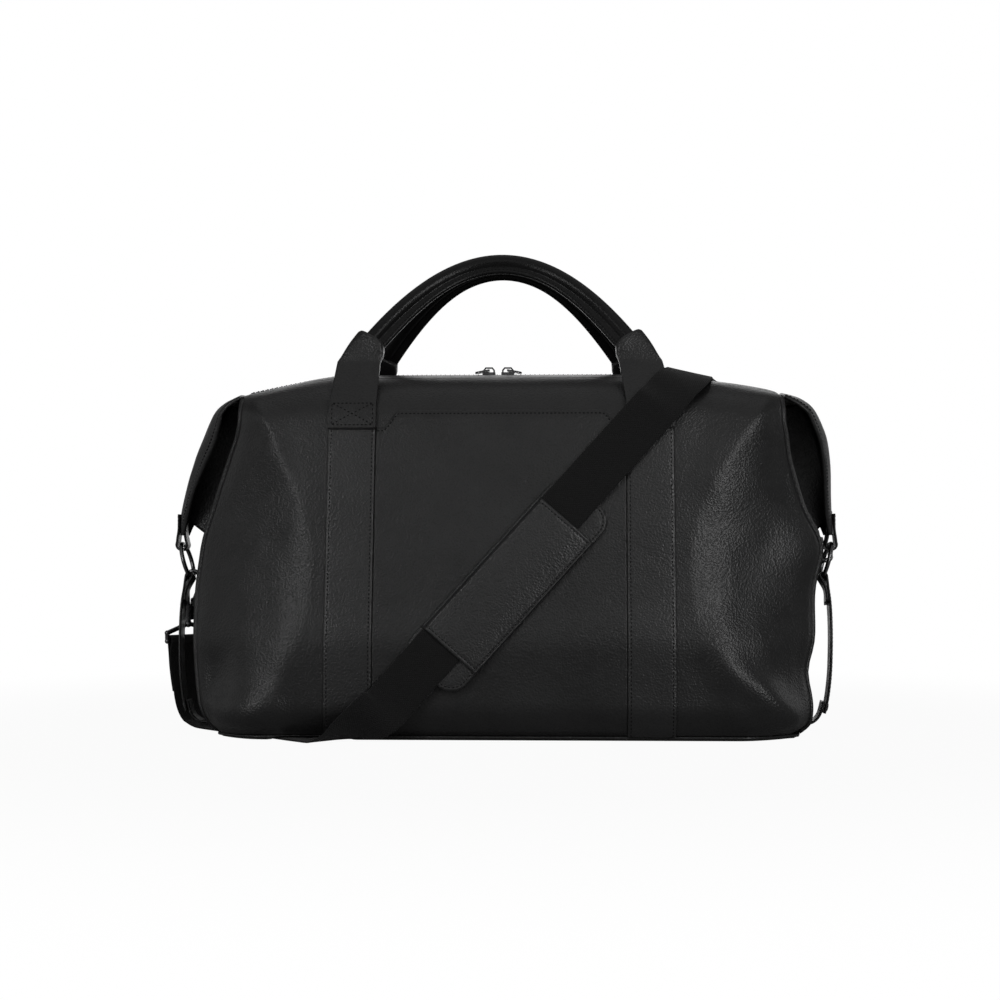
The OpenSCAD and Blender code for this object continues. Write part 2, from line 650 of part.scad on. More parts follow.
function wire_point(side, angle) =
    let (d = [-side * sin(ring_tilt), 0, -cos(ring_tilt)])
    [side * ring_x, 0, ring_z] + ring_r * (cos(angle) * d + [0, sin(angle), 0]);
left_wire_angle = 20;
right_wire_angle = 105;
left_hook_tilt = 6;
right_hook_tilt = 125;
module left_hook_place() translate(wire_point(-1, left_wire_angle))
    rotate([left_hook_tilt, 0, 0]) translate([-bow_r, 0, -bow_z]) children();
module right_hook_place() translate(wire_point(1, right_wire_angle))
    rotate([right_hook_tilt, 0, 0]) translate([-bow_r, 0, -bow_z]) children();

module hook() color(gunmetal) {
    difference() {
        translate([0, 0, -barrel_l]) cylinder(r = barrel_r, h = barrel_l);
        translate([0, 0, -barrel_l - 1]) cylinder(r = swivel_bore, h = neck_l + 2);
        translate([0, 0, -barrel_l + neck_l]) cylinder(r = head_r + head_gap, h = head_l + 2 * head_gap);
    }
    translate([0, 0, -eps]) cylinder(r = hook_wire, h = bow_z + eps);
    translate([bow_r, 0, bow_z]) rotate([90, 0, 0])
        rotate_extrude(angle = 180) translate([bow_r, 0]) circle(r = hook_wire, $fn = 24);
    translate([2 * bow_r, 0, bow_z - nose_drop]) cylinder(r = hook_wire, h = nose_drop + eps);
    translate([2 * bow_r, 0, bow_z - nose_drop]) sphere(r = nose_r, $fn = 24);
    translate([gate_foot[0], 0, gate_foot[1]]) for (y = [-1, 1]) translate([0, y * ear_y, 0])
        rotate([90, 0, 0]) linear_extrude(ear_t, center = true) gate_ear();
}
module gate_ear() difference() {
    union() {
        translate([-ear_r, -ear_l]) square([2 * ear_r, ear_l]);
        circle(r = ear_r);
    }
    circle(r = gate_pin + pin_gap);
}

module gate() color(gunmetal) {
    along = gate_head - gate_foot;
    translate([gate_foot[0], 0, gate_foot[1]]) {
        rotate([90, 0, 0]) cylinder(r = gate_pin, h = gate_pin_l, center = true);
        rotate([0, atan2(along[0], along[1]), 0]) cylinder(r = gate_r, h = norm(along));
    }
}

module eye() color(gunmetal) {
    translate([0, 0, eye_crown]) cylinder(r = swivel_pin, h = neck_l + head_gap - barrel_l - eye_crown + eps);
    translate([0, 0, -barrel_l + neck_l + head_gap]) cylinder(r = head_r, h = head_l);
    translate([0, 0, eye_crown]) sphere(r = crown_r, $fn = 24);
    rotate([0, 0, eye_turn]) {
        translate([0, 0, eye_z]) rotate([0, 90, 0]) cylinder(r = eye_wire, h = 2 * eye_half, center = true);
        for (x = [-1, 1]) {
            translate([0, 0, eye_crown]) rotate([0, x * shoulder_turn, 0])
                cylinder(r = eye_wire, h = shoulder_l);
            translate([x * eye_half, 0, shoulder_z]) sphere(r = knuckle_r, $fn = 24);
            translate([x * eye_half, 0, eye_z]) cylinder(r = eye_wire, h = shoulder_z - eye_z);
            translate([x * eye_half, 0, eye_z]) sphere(r = knuckle_r, $fn = 24);
        }
    }
}
module left_hook() left_hook_place() hook();
module right_hook() right_hook_place() hook();
module left_gate() left_hook_place() gate();
module right_gate() right_hook_place() gate();
module left_eye() left_hook_place() eye();
module right_eye() right_hook_place() eye();

front_panel();
back_panel();
left_gusset();
right_gusset();
base_panel();
base_welt();
base_board();
lining();
front_zip_panel();
back_zip_panel();
front_zip_tape();
back_zip_tape();
zip_chain();
left_slider();
right_slider();
left_pull();
right_pull();
left_wing();
right_wing();
left_ring_tab();
right_ring_tab();
left_ring();
right_ring();
left_side_strap();
right_side_strap();
left_base_tab();
right_base_tab();
side_rivets();
front_left_strap();
front_right_strap();
back_left_strap();
back_right_strap();
front_pocket();
front_left_tab();
front_right_tab();
back_left_tab();
back_right_tab();
front_grip();
back_grip();
front_left_chape();
front_right_chape();
back_left_chape();
back_right_chape();
webbing_left();
webbing_front();
webbing_back();
left_hook();
right_hook();
left_gate();
right_gate();
left_eye();
right_eye();
pad_base();
pad_sleeve();
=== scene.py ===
"""Looks of the weekender bag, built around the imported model. Shapes are worked out in millimetres."""

import math

import bmesh
import bpy
import numpy as np
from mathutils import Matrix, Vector, noise


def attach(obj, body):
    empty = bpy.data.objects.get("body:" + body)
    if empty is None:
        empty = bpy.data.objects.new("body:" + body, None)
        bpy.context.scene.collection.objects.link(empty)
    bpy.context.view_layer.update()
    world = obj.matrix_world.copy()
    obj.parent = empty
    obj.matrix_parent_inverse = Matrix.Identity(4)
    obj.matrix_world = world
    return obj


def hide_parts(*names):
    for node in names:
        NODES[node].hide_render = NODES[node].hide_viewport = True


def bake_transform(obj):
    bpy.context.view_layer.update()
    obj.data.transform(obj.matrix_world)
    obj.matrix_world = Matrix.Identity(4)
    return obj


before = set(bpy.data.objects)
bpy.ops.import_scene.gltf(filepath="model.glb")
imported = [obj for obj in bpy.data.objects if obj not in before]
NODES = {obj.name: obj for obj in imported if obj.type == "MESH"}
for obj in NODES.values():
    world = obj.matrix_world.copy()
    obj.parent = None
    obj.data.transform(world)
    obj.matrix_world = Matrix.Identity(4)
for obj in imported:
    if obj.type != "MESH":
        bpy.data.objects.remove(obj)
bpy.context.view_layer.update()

MM = 0.001


# Numbers and curves

def unit(v):
    v = np.asarray(v, float)
    return v / np.maximum(np.linalg.norm(v, axis=-1, keepdims=True), 1e-12)


def smooth(a, b, x):
    t = np.clip((np.asarray(x, float) - a) / (b - a), 0, 1)
    return t * t * (3 - 2 * t)


def monotone(xs, ys, x):
    """A smooth curve through the points that doesn't overshoot them."""
    xs, ys, x = (np.asarray(v, float) for v in (xs, ys, x))
    h = np.diff(xs)
    d = np.diff(ys) / h
    m = np.zeros(len(xs))
    m[0], m[-1] = d[0], d[-1]
    for i in range(1, len(xs) - 1):
        if d[i - 1] * d[i] > 0:
            w1, w2 = 2 * h[i] + h[i - 1], h[i] + 2 * h[i - 1]
            m[i] = (w1 + w2) / (w1 / d[i - 1] + w2 / d[i])
    i = np.clip(np.searchsorted(xs, x) - 1, 0, len(h) - 1)
    t = (x - xs[i]) / h[i]
    a, b = ys[i], ys[i + 1]
    return (
        (1 + 2 * t) * (1 - t) ** 2 * a
        + t * (1 - t) ** 2 * h[i] * m[i]
        + t * t * (3 - 2 * t) * b
        + t * t * (t - 1) * h[i] * m[i + 1]
    )


def spline(points, step):
    """A Catmull-Rom line through the points, sampled about every step."""
    p = np.asarray(points, float)
    p = np.vstack([2 * p[0] - p[1], p, 2 * p[-1] - p[-2]])
    out = []
    for a, b, c, d in zip(p[:-3], p[1:-2], p[2:-1], p[3:]):
        square, cube = 2 * a - 5 * b + 4 * c - d, 3 * b - a - 3 * c + d
        n = max(2, int(np.linalg.norm(c - b) / step))
        for t in np.arange(n) / n:
            out.append(0.5 * (2 * b + (c - a) * t + square * t**2 + cube * t**3))
    out.append(p[-2])
    return np.array(out)


def lengths(path):
    return np.concatenate([[0], np.cumsum(np.linalg.norm(np.diff(path, axis=0), axis=1))])


def tangents(path):
    return unit(np.gradient(path, axis=0))


def read_off(values, s, at):
    """Rows of values, which lie at the lengths s, read off at other lengths."""
    return np.stack([np.interp(at, s, column) for column in values.T], -1)


def even(path, step):
    """The same line with points an even step apart."""
    s = lengths(path)
    return read_off(path, s, np.linspace(0, s[-1], max(2, int(round(s[-1] / step)) + 1)))


def same(vector, n):
    return np.repeat(np.array([vector], float), n, 0)


def wobble(p, size, seed=0.0):
    """Seeded smooth noise at a point in millimetres, about -1 to 1."""
    return noise.noise(Vector((p[0] / size + seed, p[1] / size - seed, p[2] / size + 2 * seed)))


# Meshes

def make(name, verts, faces, material, body="root", uv=None, shade=True):
    """A mesh in millimetres, shown with a material and moving with a body."""
    mesh = bpy.data.meshes.new(name)
    mesh.from_pydata([tuple(v) for v in np.asarray(verts, float) * MM], [], faces)
    bm = bmesh.new()
    bm.from_mesh(mesh)
    bmesh.ops.recalc_face_normals(bm, faces=bm.faces)
    bm.to_mesh(mesh)
    bm.free()
    if uv is not None:
        layer = mesh.uv_layers.new(name="cloth")
        for loop in mesh.loops:
            layer.data[loop.index].uv = uv[loop.vertex_index]
    mesh.polygons.foreach_set("use_smooth", [shade] * len(mesh.polygons))
    mesh.materials.append(material)
    obj = bpy.data.objects.new(name, mesh)
    bpy.context.scene.collection.objects.link(obj)
    if body:
        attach(obj, body)
    return obj


def quads(n, m, wrap_m=False):
    """Faces of a grid of n rows of m points."""
    cols = m if wrap_m else m - 1
    return [
        (i * m + j, i * m + (j + 1) % m, (i + 1) * m + (j + 1) % m, (i + 1) * m + j)
        for i in range(n - 1)
        for j in range(cols)
    ]


def tube(n, m):
    """Faces of a closed tube of n rings of m points."""
    return quads(n, m, wrap_m=True) + [tuple(range(m)), tuple((n - 1) * m + j for j in range(m))]


def grid_normals(p):
    return unit(np.cross(np.gradient(p, axis=0), np.gradient(p, axis=1)))


def on_side(side):
    """What mirrors a piece from the front to the back."""
    return np.array([1, side, 1])


def on_hand(hand):
    """What mirrors a piece from the right to the left."""
    return np.array([hand, 1, 1])


def thick(name, outer, inner, material, flip=1):
    """A closed sheet between two grids of points."""
    n, m = outer.shape[:2]
    k = n * m
    faces = quads(n, m)
    faces += [tuple(v + k for v in reversed(f)) for f in faces]
    rim = [(0, j) for j in range(m)] + [(i, m - 1) for i in range(1, n)]
    rim += [(n - 1, j) for j in range(m - 2, -1, -1)] + [(i, 0) for i in range(n - 2, 0, -1)]
    rim = [i * m + j for i, j in rim]
    faces += [(a, a + k, b + k, b) for a, b in zip(rim, rim[1:] + rim[:1])]
    return make(name, np.vstack([outer.reshape(-1, 3), inner.reshape(-1, 3)]) * flip, faces, material)


def sweep(name, path, wides, outs, sections, material, body="root", uv=False, flip=1):
    """A solid along a path, with one closed section of (width, out) points at each of its points."""
    sections = np.asarray(sections, float)
    if sections.ndim == 2:
        sections = np.repeat(sections[None], len(path), 0)
    rings = path[:, None] + sections[..., :1] * wides[:, None] + sections[..., 1:] * outs[:, None]
    rings = rings * flip
    n, m = rings.shape[:2]
    coords = None
    if uv:
        run = np.repeat(lengths(path)[:, None], m, 1)
        coords = np.stack([run, sections[..., 0]], 2).reshape(-1, 2) * MM
    return make(name, rings.reshape(-1, 3), tube(n, m), material, body, coords)


def strip_section(width, thickness, crown=0.0, across=10):
    """A flat strap's section with rounded edges, and a face that may swell in its middle."""
    r = thickness / 2
    half = width / 2 - r
    flat = np.linspace(half, -half, across)
    top = np.stack([flat, r + crown * (1 - (flat / (width / 2)) ** 2)], 1)
    low = np.stack([flat[::-1], np.full(across, -r)], 1)
    turn = np.linspace(math.pi / 2, -math.pi / 2, 6)[1:-1]
    edge = np.stack([half + r * np.cos(turn), r * np.sin(turn)], 1)
    return np.vstack([top, edge * [-1, 1], low, edge[::-1]])


def ribbon_frames(path, outs):
    run = tangents(path)
    wides = unit(np.cross(run, outs))
    return wides, np.cross(wides, run)


STITCH_SINK, STITCH_BELLY = 0.55, 0.32


def stitches(name, rows, body="root", pitch=3.2, length=2.3, size=0.62, flip=1):
    """Rows of thread stitches. A row is a pair of arrays: points on the surface and the way it faces."""
    verts, faces = [], []
    for row in rows:
        path, facing = (v * flip for v in row)
        s = lengths(path)
        if s[-1] < pitch:
            continue
        count = int(s[-1] / pitch)
        for a in (np.arange(count) + 0.5) * s[-1] / count:
            run = unit(read_off(path, s, a + length / 2) - read_off(path, s, a - length / 2))
            out = unit(read_off(facing, s, a))
            side = np.cross(run, out)
            mid = read_off(path, s, a) - out * size * STITCH_SINK
            base = len(verts)
            verts.append(mid - run * length / 2 - out * size)
            for along in (-STITCH_BELLY, STITCH_BELLY):
                for turn in range(6):
                    w, h = math.cos(turn * math.pi / 3), math.sin(turn * math.pi / 3)
                    verts.append(mid + run * along * length + side * size * w + out * size * h)
            verts.append(mid + run * length / 2 - out * size)
            for t in range(6):
                u = (t + 1) % 6
                faces += [
                    (base, base + 1 + t, base + 1 + u),
                    (base + 1 + t, base + 7 + t, base + 7 + u, base + 1 + u),
                    (base + 7 + t, base + 13, base + 7 + u),
                ]
    obj = make(name, verts, faces, THREAD, body)
    return obj


# Materials

def grey(level):
    """A neutral colour from its 0 to 255 screen level."""
    c = level / 255
    c = c / 12.92 if c <= 0.04045 else ((c + 0.055) / 1.055) ** 2.4
    return (c, c, c * 1.02, 1)


class Nodes:
    """Short names for building the node tree of a material or a world."""

    def __init__(self, owner):
        self.owner = owner
        owner.use_nodes = True
        self.tree = owner.node_tree
        self.shader = self.tree.nodes.get("Principled BSDF")

    def set(self, **values):
        """Sets inputs of the shader, with a low line for each space in a name."""
        for key, value in values.items():
            self.shader.inputs[key.replace("_", " ")].default_value = value

    def add(self, kind, **settings):
        node = self.tree.nodes.new("ShaderNode" + kind)
        for key, value in settings.items():
            if key in node.inputs:
                node.inputs[key].default_value = value
            else:
                setattr(node, key, value)
        return node

    def link(self, a, b):
        self.tree.links.new(a, b)

    def place(self):
        return self.add("TexCoord").outputs["Object"]

    def texture(self, kind, coords, scale, **settings):
        node = self.add("Tex" + kind, Scale=scale, **settings)
        self.link(coords, node.inputs["Vector"])
        return node

    def maths(self, operation, a, b, clamp=False):
        node = self.add("Math", operation=operation, use_clamp=clamp)
        for value, socket in zip((a, b), node.inputs):
            if isinstance(value, (int, float)):
                socket.default_value = value
            else:
                self.link(value, socket)
        return node.outputs[0]

    def ramp(self, value, low, high, a, b, curve="LINEAR"):
        ends = {"From Min": low, "From Max": high, "To Min": a, "To Max": b}
        node = self.add("MapRange", interpolation_type=curve, **ends)
        self.link(value, node.inputs["Value"])
        return node.outputs[0]

    def colours(self, value, stops):
        node = self.add("ValToRGB")
        for element, stop in zip(node.color_ramp.elements, stops):
            element.position, element.color = stop
        self.link(value, node.inputs["Fac"])
        self.link(node.outputs["Color"], self.shader.inputs["Base Color"])

    def bump(self, heights):
        """Bumps from (height socket, depth in metres, strength), the first one deepest in the chain."""
        last = None
        for height, depth, strength in heights:
            node = self.add("Bump", Distance=depth, Strength=strength)
            self.link(height, node.inputs["Height"])
            if last:
                self.link(last, node.inputs["Normal"])
            last = node.outputs["Normal"]
        self.link(last, self.shader.inputs["Normal"])


def leather_material(name, level=21, grain=1.0, rough=0.32, shine=1.0):
    """Pebbled leather: fine grain on broad unevenness, with dull pits between the pebbles that are also
    painted darker as shade.
    """
    n = Nodes(bpy.data.materials.new(name))
    coords = n.place()
    pebble = n.texture("Voronoi", coords, 620, feature="SMOOTH_F1", Smoothness=0.45)
    crease = n.texture("Voronoi", coords, 430, feature="DISTANCE_TO_EDGE")
    fine = n.texture("Noise", coords, 1500, Detail=3.0)
    broad = n.texture("Noise", coords, 24, Detail=4.0, Roughness=0.6)
    lines = n.ramp(crease.outputs["Distance"], 0.0, 0.12, 0.0, 1.0)
    n.bump([
        (broad.outputs["Fac"], 0.003, 0.15),
        (lines, 0.0001, 0.3 * grain),
        (pebble.outputs["Distance"], 0.00033, 0.8 * grain),
        (fine.outputs["Fac"], 0.0001, 0.3 * grain),
    ])
    pits = n.ramp(pebble.outputs["Distance"], 0.08, 0.42, 0.0, 1.0)
    cloud = n.maths("MULTIPLY", broad.outputs["Fac"], 0.6)
    # The colour is a random broad clouding of tone, which is the leather's own, plus painted shade that
    # darkens the grain's low parts.
    tone = n.maths("ADD", cloud, n.maths("MULTIPLY", pits, 0.4))
    n.colours(tone, [(0.25, grey(level - 10)), (0.8, grey(level + 9))])
    worn = n.ramp(broad.outputs["Fac"], 0.3, 0.7, rough - 0.01, rough + 0.05)
    n.link(n.maths("ADD", worn, n.ramp(pits, 0.0, 1.0, 0.2, 0.0)), n.shader.inputs["Roughness"])
    n.set(Specular_IOR_Level=0.39 * shine)
    return n.owner


def weave_material(name, level, per_metre, cross_metre, depth):
    """Woven cloth on the mesh's own coordinates: along the strap, and across it."""
    n = Nodes(bpy.data.materials.new(name))
    coords = n.add("UVMap", uv_map="cloth").outputs["UV"]
    split = n.add("SeparateXYZ")
    n.link(coords, split.inputs[0])
    along = n.maths("SINE", n.maths("MULTIPLY", split.outputs["X"], 2 * math.pi * per_metre), 0)
    cross = n.maths("SINE", n.maths("MULTIPLY", split.outputs["Y"], 2 * math.pi * cross_metre), 0)
    rib = n.maths("MULTIPLY", along, cross)
    hair = n.texture("Noise", n.place(), 900, Detail=2.0)
    height = n.maths("ADD", rib, n.maths("MULTIPLY", hair.outputs["Fac"], 0.8))
    n.bump([(height, depth, 0.6)])
    n.colours(n.ramp(height, -1.0, 1.6, 0.0, 1.0), [(0.1, grey(level - 6)), (0.9, grey(level + 8))])
    n.set(Roughness=0.85, Specular_IOR_Level=0.25, Sheen_Weight=0.08, Sheen_Roughness=0.5)
    return n.owner


def metal_material(name, level, rough):
    n = Nodes(bpy.data.materials.new(name))
    coords = n.place()
    wear = n.texture("Noise", coords, 160, Detail=4.0)
    scratch = n.texture("Noise", coords, 1400, Detail=2.0)
    n.colours(wear.outputs["Fac"], [(0.3, grey(level - 14)), (0.7, grey(level + 12))])
    worn = n.ramp(wear.outputs["Fac"], 0.3, 0.7, rough - 0.05, rough + 0.1)
    n.link(worn, n.shader.inputs["Roughness"])
    n.bump([(scratch.outputs["Fac"], 0.00005, 0.15)])
    n.set(Metallic=1.0)
    return n.owner


def cloth_material(name, level, scale):
    n = Nodes(bpy.data.materials.new(name))
    coords = n.place()
    thread = n.texture("Voronoi", coords, scale, feature="F1")
    fuzz = n.texture("Noise", coords, scale * 0.7, Detail=3.0)
    n.colours(fuzz.outputs["Fac"], [(0.3, grey(level - 6)), (0.7, grey(level + 6))])
    n.bump([(thread.outputs["Distance"], 0.0004, 0.5)])
    n.set(Roughness=0.9, Specular_IOR_Level=0.2)
    return n.owner


LEATHER = leather_material("leather")
# A copy of the leather for the straps and the pad's sleeve, painted lighter: its lighter colour is a painted
# highlight for the light that their raised faces catch. Its extra shine is a gloss setting.
STRAP_LEATHER_PAINTED_HIGHLIGHT = leather_material("strap_leather_painted_highlight", level=24, shine=1.15)
# A copy of the leather for the handle grips, painted darker: its dark colour is painted shade on the roll.
# Its weaker grain, lower roughness and lower shine are settings of the grip's leather itself.
GRIP_LEATHER_PAINTED_SHADE = leather_material("grip_leather", level=9, grain=0.35, rough=0.26, shine=0.5)
WEBBING = weave_material("webbing", 11, 520, 420, 0.0003)
ZIP_CLOTH = weave_material("zip_cloth", 22, 700, 900, 0.0002)
LINING = cloth_material("lining_cloth", 30, 1100)
BOARD = cloth_material("board", 34, 500)
COIL = cloth_material("zip_teeth", 26, 300)
GUNMETAL = metal_material("gunmetal", 100, 0.22)
THREAD = cloth_material("thread", 9, 2600)


# Camera, floor and light

CAMERA_AT, CAMERA_YAW = (0.048, -1.405, 0.142), 2.11
LENS, SENSOR, SHIFT_UP = 59.5, 36, 0.06
ROOM_LEVEL, WALL_Y = 0.12, (0.88, 0.98)
FLOOR_PAINT, FLOOR_HALF, FLOOR_Y = (0.4, 0.4, 0.4, 1), 6000, (0.6, 1.6)
GLOW_REACH, GLOW_SHARE = (0.35, 0.9), (0.95, 1.0)
# Each lamp's place, aim, size and power
LAMPS = {
    "top_light": ((0, -0.4, 1.9), (0, -0.4, 0.25), (1.6, 2.2), 4),
    "front_light": ((0, -2.5, 1.68), (0, 0, 1.68), (1.5, 2.0), 5.2),
    "back_light": ((0, 2.4, 0.95), (0, 0, 0.2), (1.8, 1.6), 6),
    "right_fill": ((2.2, 0.7, 0.8), (0.2, 0, 0.2), (1.2, 1.2), 3.5),
    "left_fill": ((-2.1, -0.2, 0.7), (-0.2, 0, 0.2), (1.6, 1.2), 2.5),
    "left_light": ((-1.2, -1.75, 0.85), (-0.15, 0, 0.15), (0.3, 1.4), 8.5),
    "right_light": ((1.2, -1.75, 0.85), (0.15, 0, 0.15), (0.3, 1.4), 12.5),
}


def backdrop_rays(n, near, far):
    """1 for rays that see the white backdrop: the camera's all round, those off metal only behind."""
    light = n.add("LightPath").outputs
    axes = n.add("SeparateXYZ")
    n.link(n.place(), axes.inputs[0])
    mirrored = n.maths("ADD", light["Is Glossy Ray"], light["Is Transmission Ray"], clamp=True)
    behind = n.maths("MULTIPLY", mirrored, n.ramp(axes.outputs["Y"], near, far, 0.0, 1.0), clamp=True)
    return n.maths("ADD", light["Is Camera Ray"], behind, clamp=True)


def studio_world():
    n = Nodes(bpy.data.worlds.new("studio"))
    background = n.tree.nodes["Background"].inputs
    background["Color"].default_value = (1, 1, 1, 1)
    strength = n.ramp(backdrop_rays(n, *WALL_Y), 0.0, 1.0, ROOM_LEVEL, 1.0)
    n.link(strength, background["Strength"])
    return n.owner


def floor_material():
    n = Nodes(bpy.data.materials.new("floor"))
    n.set(Base_Color=FLOOR_PAINT, Roughness=0.9)
    mix = n.add("MixShader")
    away = n.add("VectorMath", operation="LENGTH")
    n.link(n.place(), away.inputs[0])
    fade = n.ramp(away.outputs["Value"], *GLOW_REACH, *GLOW_SHARE, curve="SMOOTHSTEP")
    share = n.maths("MULTIPLY", fade, backdrop_rays(n, *FLOOR_Y), clamp=True)
    n.link(share, mix.inputs["Fac"])
    n.link(n.shader.outputs[0], mix.inputs[1])
    n.link(n.add("Emission").outputs[0], mix.inputs[2])
    n.link(mix.outputs[0], n.tree.nodes["Material Output"].inputs["Surface"])
    return n.owner


def set_stage():
    scene = bpy.context.scene
    scene.view_settings.view_transform = "Standard"
    camera = bpy.data.objects.new("camera", bpy.data.cameras.new("camera"))
    camera.data.lens, camera.data.sensor_width, camera.data.shift_y = LENS, SENSOR, SHIFT_UP
    camera.location = CAMERA_AT
    camera.rotation_euler = (math.radians(90), 0, math.radians(CAMERA_YAW))
    scene.collection.objects.link(camera)
    scene.camera = camera
    scene.world = studio_world()
    corners = [(x * FLOOR_HALF, y * FLOOR_HALF, 0) for x, y in ((-1, -1), (1, -1), (1, 1), (-1, 1))]
    floor = make("floor", corners, [(0, 1, 2, 3)], floor_material(), body=None)
    for name, (at, aim, size, power) in LAMPS.items():
        lamp = bpy.data.lights.new(name, "AREA")
        lamp.shape = "RECTANGLE"
        lamp.size, lamp.size_y = size
        lamp.energy = power
        obj = bpy.data.objects.new(name, lamp)
        obj.location = at
        obj.rotation_euler = (Vector(aim) - Vector(at)).to_track_quat("-Z", "Y").to_euler()
        scene.collection.objects.link(obj)


set_stage()


# The bag's skin: levels from the base seam to the zip

HEIGHT, DEPTH, LENGTH, INSET, TUCK = range(5)
LEVELS = np.array([
    [4, 109.8, 229, 26, -8], [14, 114.6, 239, 28, -6], [30, 118.5, 246, 33, -4], [70, 118.3, 249, 39, 0],
    [110, 111.6, 249, 41, 5], [150, 104.8, 248, 39, 13], [190, 98.1, 239, 33, 27], [225, 91.8, 229, 26, 38],
    [248, 87, 224, 19, 45], [262, 82.6, 222, 14, 48], [274, 75.5, 222, 10, 48], [284, 65, 222, 7, 44],
    [291, 50, 222, 4, 36], [295, 33, 222, 2, 26], [298, 13, 222, 0, 12],
], float)
SEAM_LEVEL, TOP_LEVEL = 12, 14
FLAT_X, END_X = 138, 250
BODY_H, RIDGE_DROP, DROP_SPAN, DROP_CURVE, DROP_FOOT, END_SAG = 298, 18.5, 96, 1.15, 200, 10
SHELL_T = 3
FLAT_FOOT_Y, FLAT_FOOT_Z, FLAT_HEAD_Y, FLAT_HEAD_Z = 125, 30, 86, 262
FLAT_SLOPE = (FLAT_FOOT_Y - FLAT_HEAD_Y) / (FLAT_HEAD_Z - FLAT_FOOT_Z)
FLAT_OUT = unit([0, -1, FLAT_SLOPE])
X_AXIS, FORWARD, Z_AXIS = np.array([1.0, 0, 0]), np.array([0, -1.0, 0]), np.array([0, 0, 1.0])
FRONT, BACK = 1, -1
RIGHT, LEFT = 1, -1
SIDES = ((FRONT, "front"), (BACK, "back"))
HANDS = ((LEFT, "left"), (RIGHT, "right"))

# Where each level starts to turn to the end, and how sharply. Then how far the ends slump at each height
TURN_START = [190, 186, 178, 160, 150, 148, 160, 178, 190, 198, 204, 206, 206, 206, 206]
TURN_CURVE = [2.0, 2.0, 1.9, 1.7, 1.5, 1.45, 1.4, 1.35, 1.35, 1.4, 1.5, 1.7, 2.0, 2.0, 2.0]
LEAN_Z, LEAN_X = [0, 30, 110, 150, 190, 225, 250, 300], [0, 2.5, 2.5, 3.5, 4, 5, 7, 7]
LEAN_FULL, BEND_STARTS, BEND_FULL = 205, 200, 245
# Each bend's height, span and reach
BENDS = {RIGHT: [(6, 14, 9), (54, 18, -6), (152, 23, 8)], LEFT: [(105, 55, -3.5)]}
# Each fold's x, z, length, width, angle and height
FOLDS = [(-231, 46, 19, 30, 0, -5), (-200, 20, 40, 22, 0, 5), (208, 35, 46, 11, -38, 6),
         (176, 92, 16, 60, 0, 2)]
# Height, size and seed of the broad and the fine unevenness
SLACK = [(2.2, 70, 3.1), (0.9, 28, 7.7)]


def over_levels(values, t):
    return monotone(np.arange(len(values)), values, t)


def level(column, t):
    return over_levels(LEVELS[:, column], t)


def near_top(z):
    return np.clip((z - DROP_FOOT) / (BODY_H - DROP_FOOT), 0, None) ** 2


def drop(x, z):
    """How far the ridge has come down at x, away from the flat middle."""
    past = np.clip(np.abs(x) - FLAT_X, 0, None)
    return RIDGE_DROP * (past / DROP_SPAN) ** DROP_CURVE * near_top(z)


def lean(x, z):
    """Both ends slump a little to the right, most near the top. Each end has bends of its own."""
    moved = smooth(FLAT_X, LEAN_FULL, np.abs(x)) * monotone(LEAN_Z, LEAN_X, z)
    for hand, bends in BENDS.items():
        for at, span, reach in bends:
            bend = reach * np.exp(-(((z - at) / span) ** 2))
            moved = moved + bend * smooth(BEND_STARTS, BEND_FULL, hand * x)
    return moved


def panel_skin(s, t):
    """The front panel at s from -1 to 1 along it, and t levels up. The back is the same, mirrored."""
    s, t = np.broadcast_arrays(np.asarray(s, float), np.asarray(t, float))
    end, start = level(LENGTH, t), over_levels(TURN_START, t)
    flat, past = np.clip(np.abs(s) / 0.5, 0, 1), np.clip((np.abs(s) - 0.5) / 0.5, 0, 1)
    x = flat * FLAT_X + past * (end - FLAT_X)
    turned = np.clip((x - start) / (end - start), 0, 1) ** over_levels(TURN_CURVE, t)
    y = -(level(DEPTH, t) - level(INSET, t) * turned)
    x, z = np.sign(s) * x, level(HEIGHT, t)
    return np.stack([x + lean(x, z), y, z - drop(x, z)], -1)


def end_skin(v, t, hand):
    """A gusset, right or left, at v from -1, at the front, to 1, at the back."""
    v, t = np.broadcast_arrays(np.asarray(v, float), np.asarray(t, float))
    bow = 1 - v * v
    z = level(HEIGHT, t)
    x = hand * (level(LENGTH, t) - level(TUCK, t) * bow)
    y = v * (level(DEPTH, t) - level(INSET, t))
    low = z - END_SAG * bow * near_top(z) - drop(x, z)
    return np.stack([x + lean(np.full_like(x, hand * END_X), z), y, low], -1)


def slack(points, normals, free):
    """Soft dents and swells of the leather, where it is free of what holds it flat."""
    moved = points.copy()
    for i in np.ndindex(points.shape[:2]):
        lift = sum(height * wobble(points[i], size, seed) for height, size, seed in SLACK)
        moved[i] += normals[i] * lift * free[i]
    return moved


def folds(points):
    """Heights of the larger dents and ridges of a panel."""
    total = np.zeros(points.shape[:2])
    for x, z, along, across, angle, height in FOLDS:
        c, s = math.cos(math.radians(angle)), math.sin(math.radians(angle))
        dx, dz = points[..., 0] - x, points[..., 2] - z
        u, w = (dx * c + dz * s) / along, (dz * c - dx * s) / across
        total += height * np.exp(-u * u - w * w)
    return total


# Between these x the skin comes free to sag. It is held this near to the ends and the seams
FREE_X, FREE_END, FREE_SEAM = (140, 175), 0.08, 1.2
EDGE_ROLL, EDGE_SHARE = 1.6, 0.03


def three_runs(a, b, c, d, counts):
    """Values from a to d, with a spacing of their own between b and c."""
    first, middle, last = counts
    runs = [np.linspace(a, b, first), np.linspace(b, c, middle)[1:-1], np.linspace(c, d, last)]
    return np.concatenate(runs)


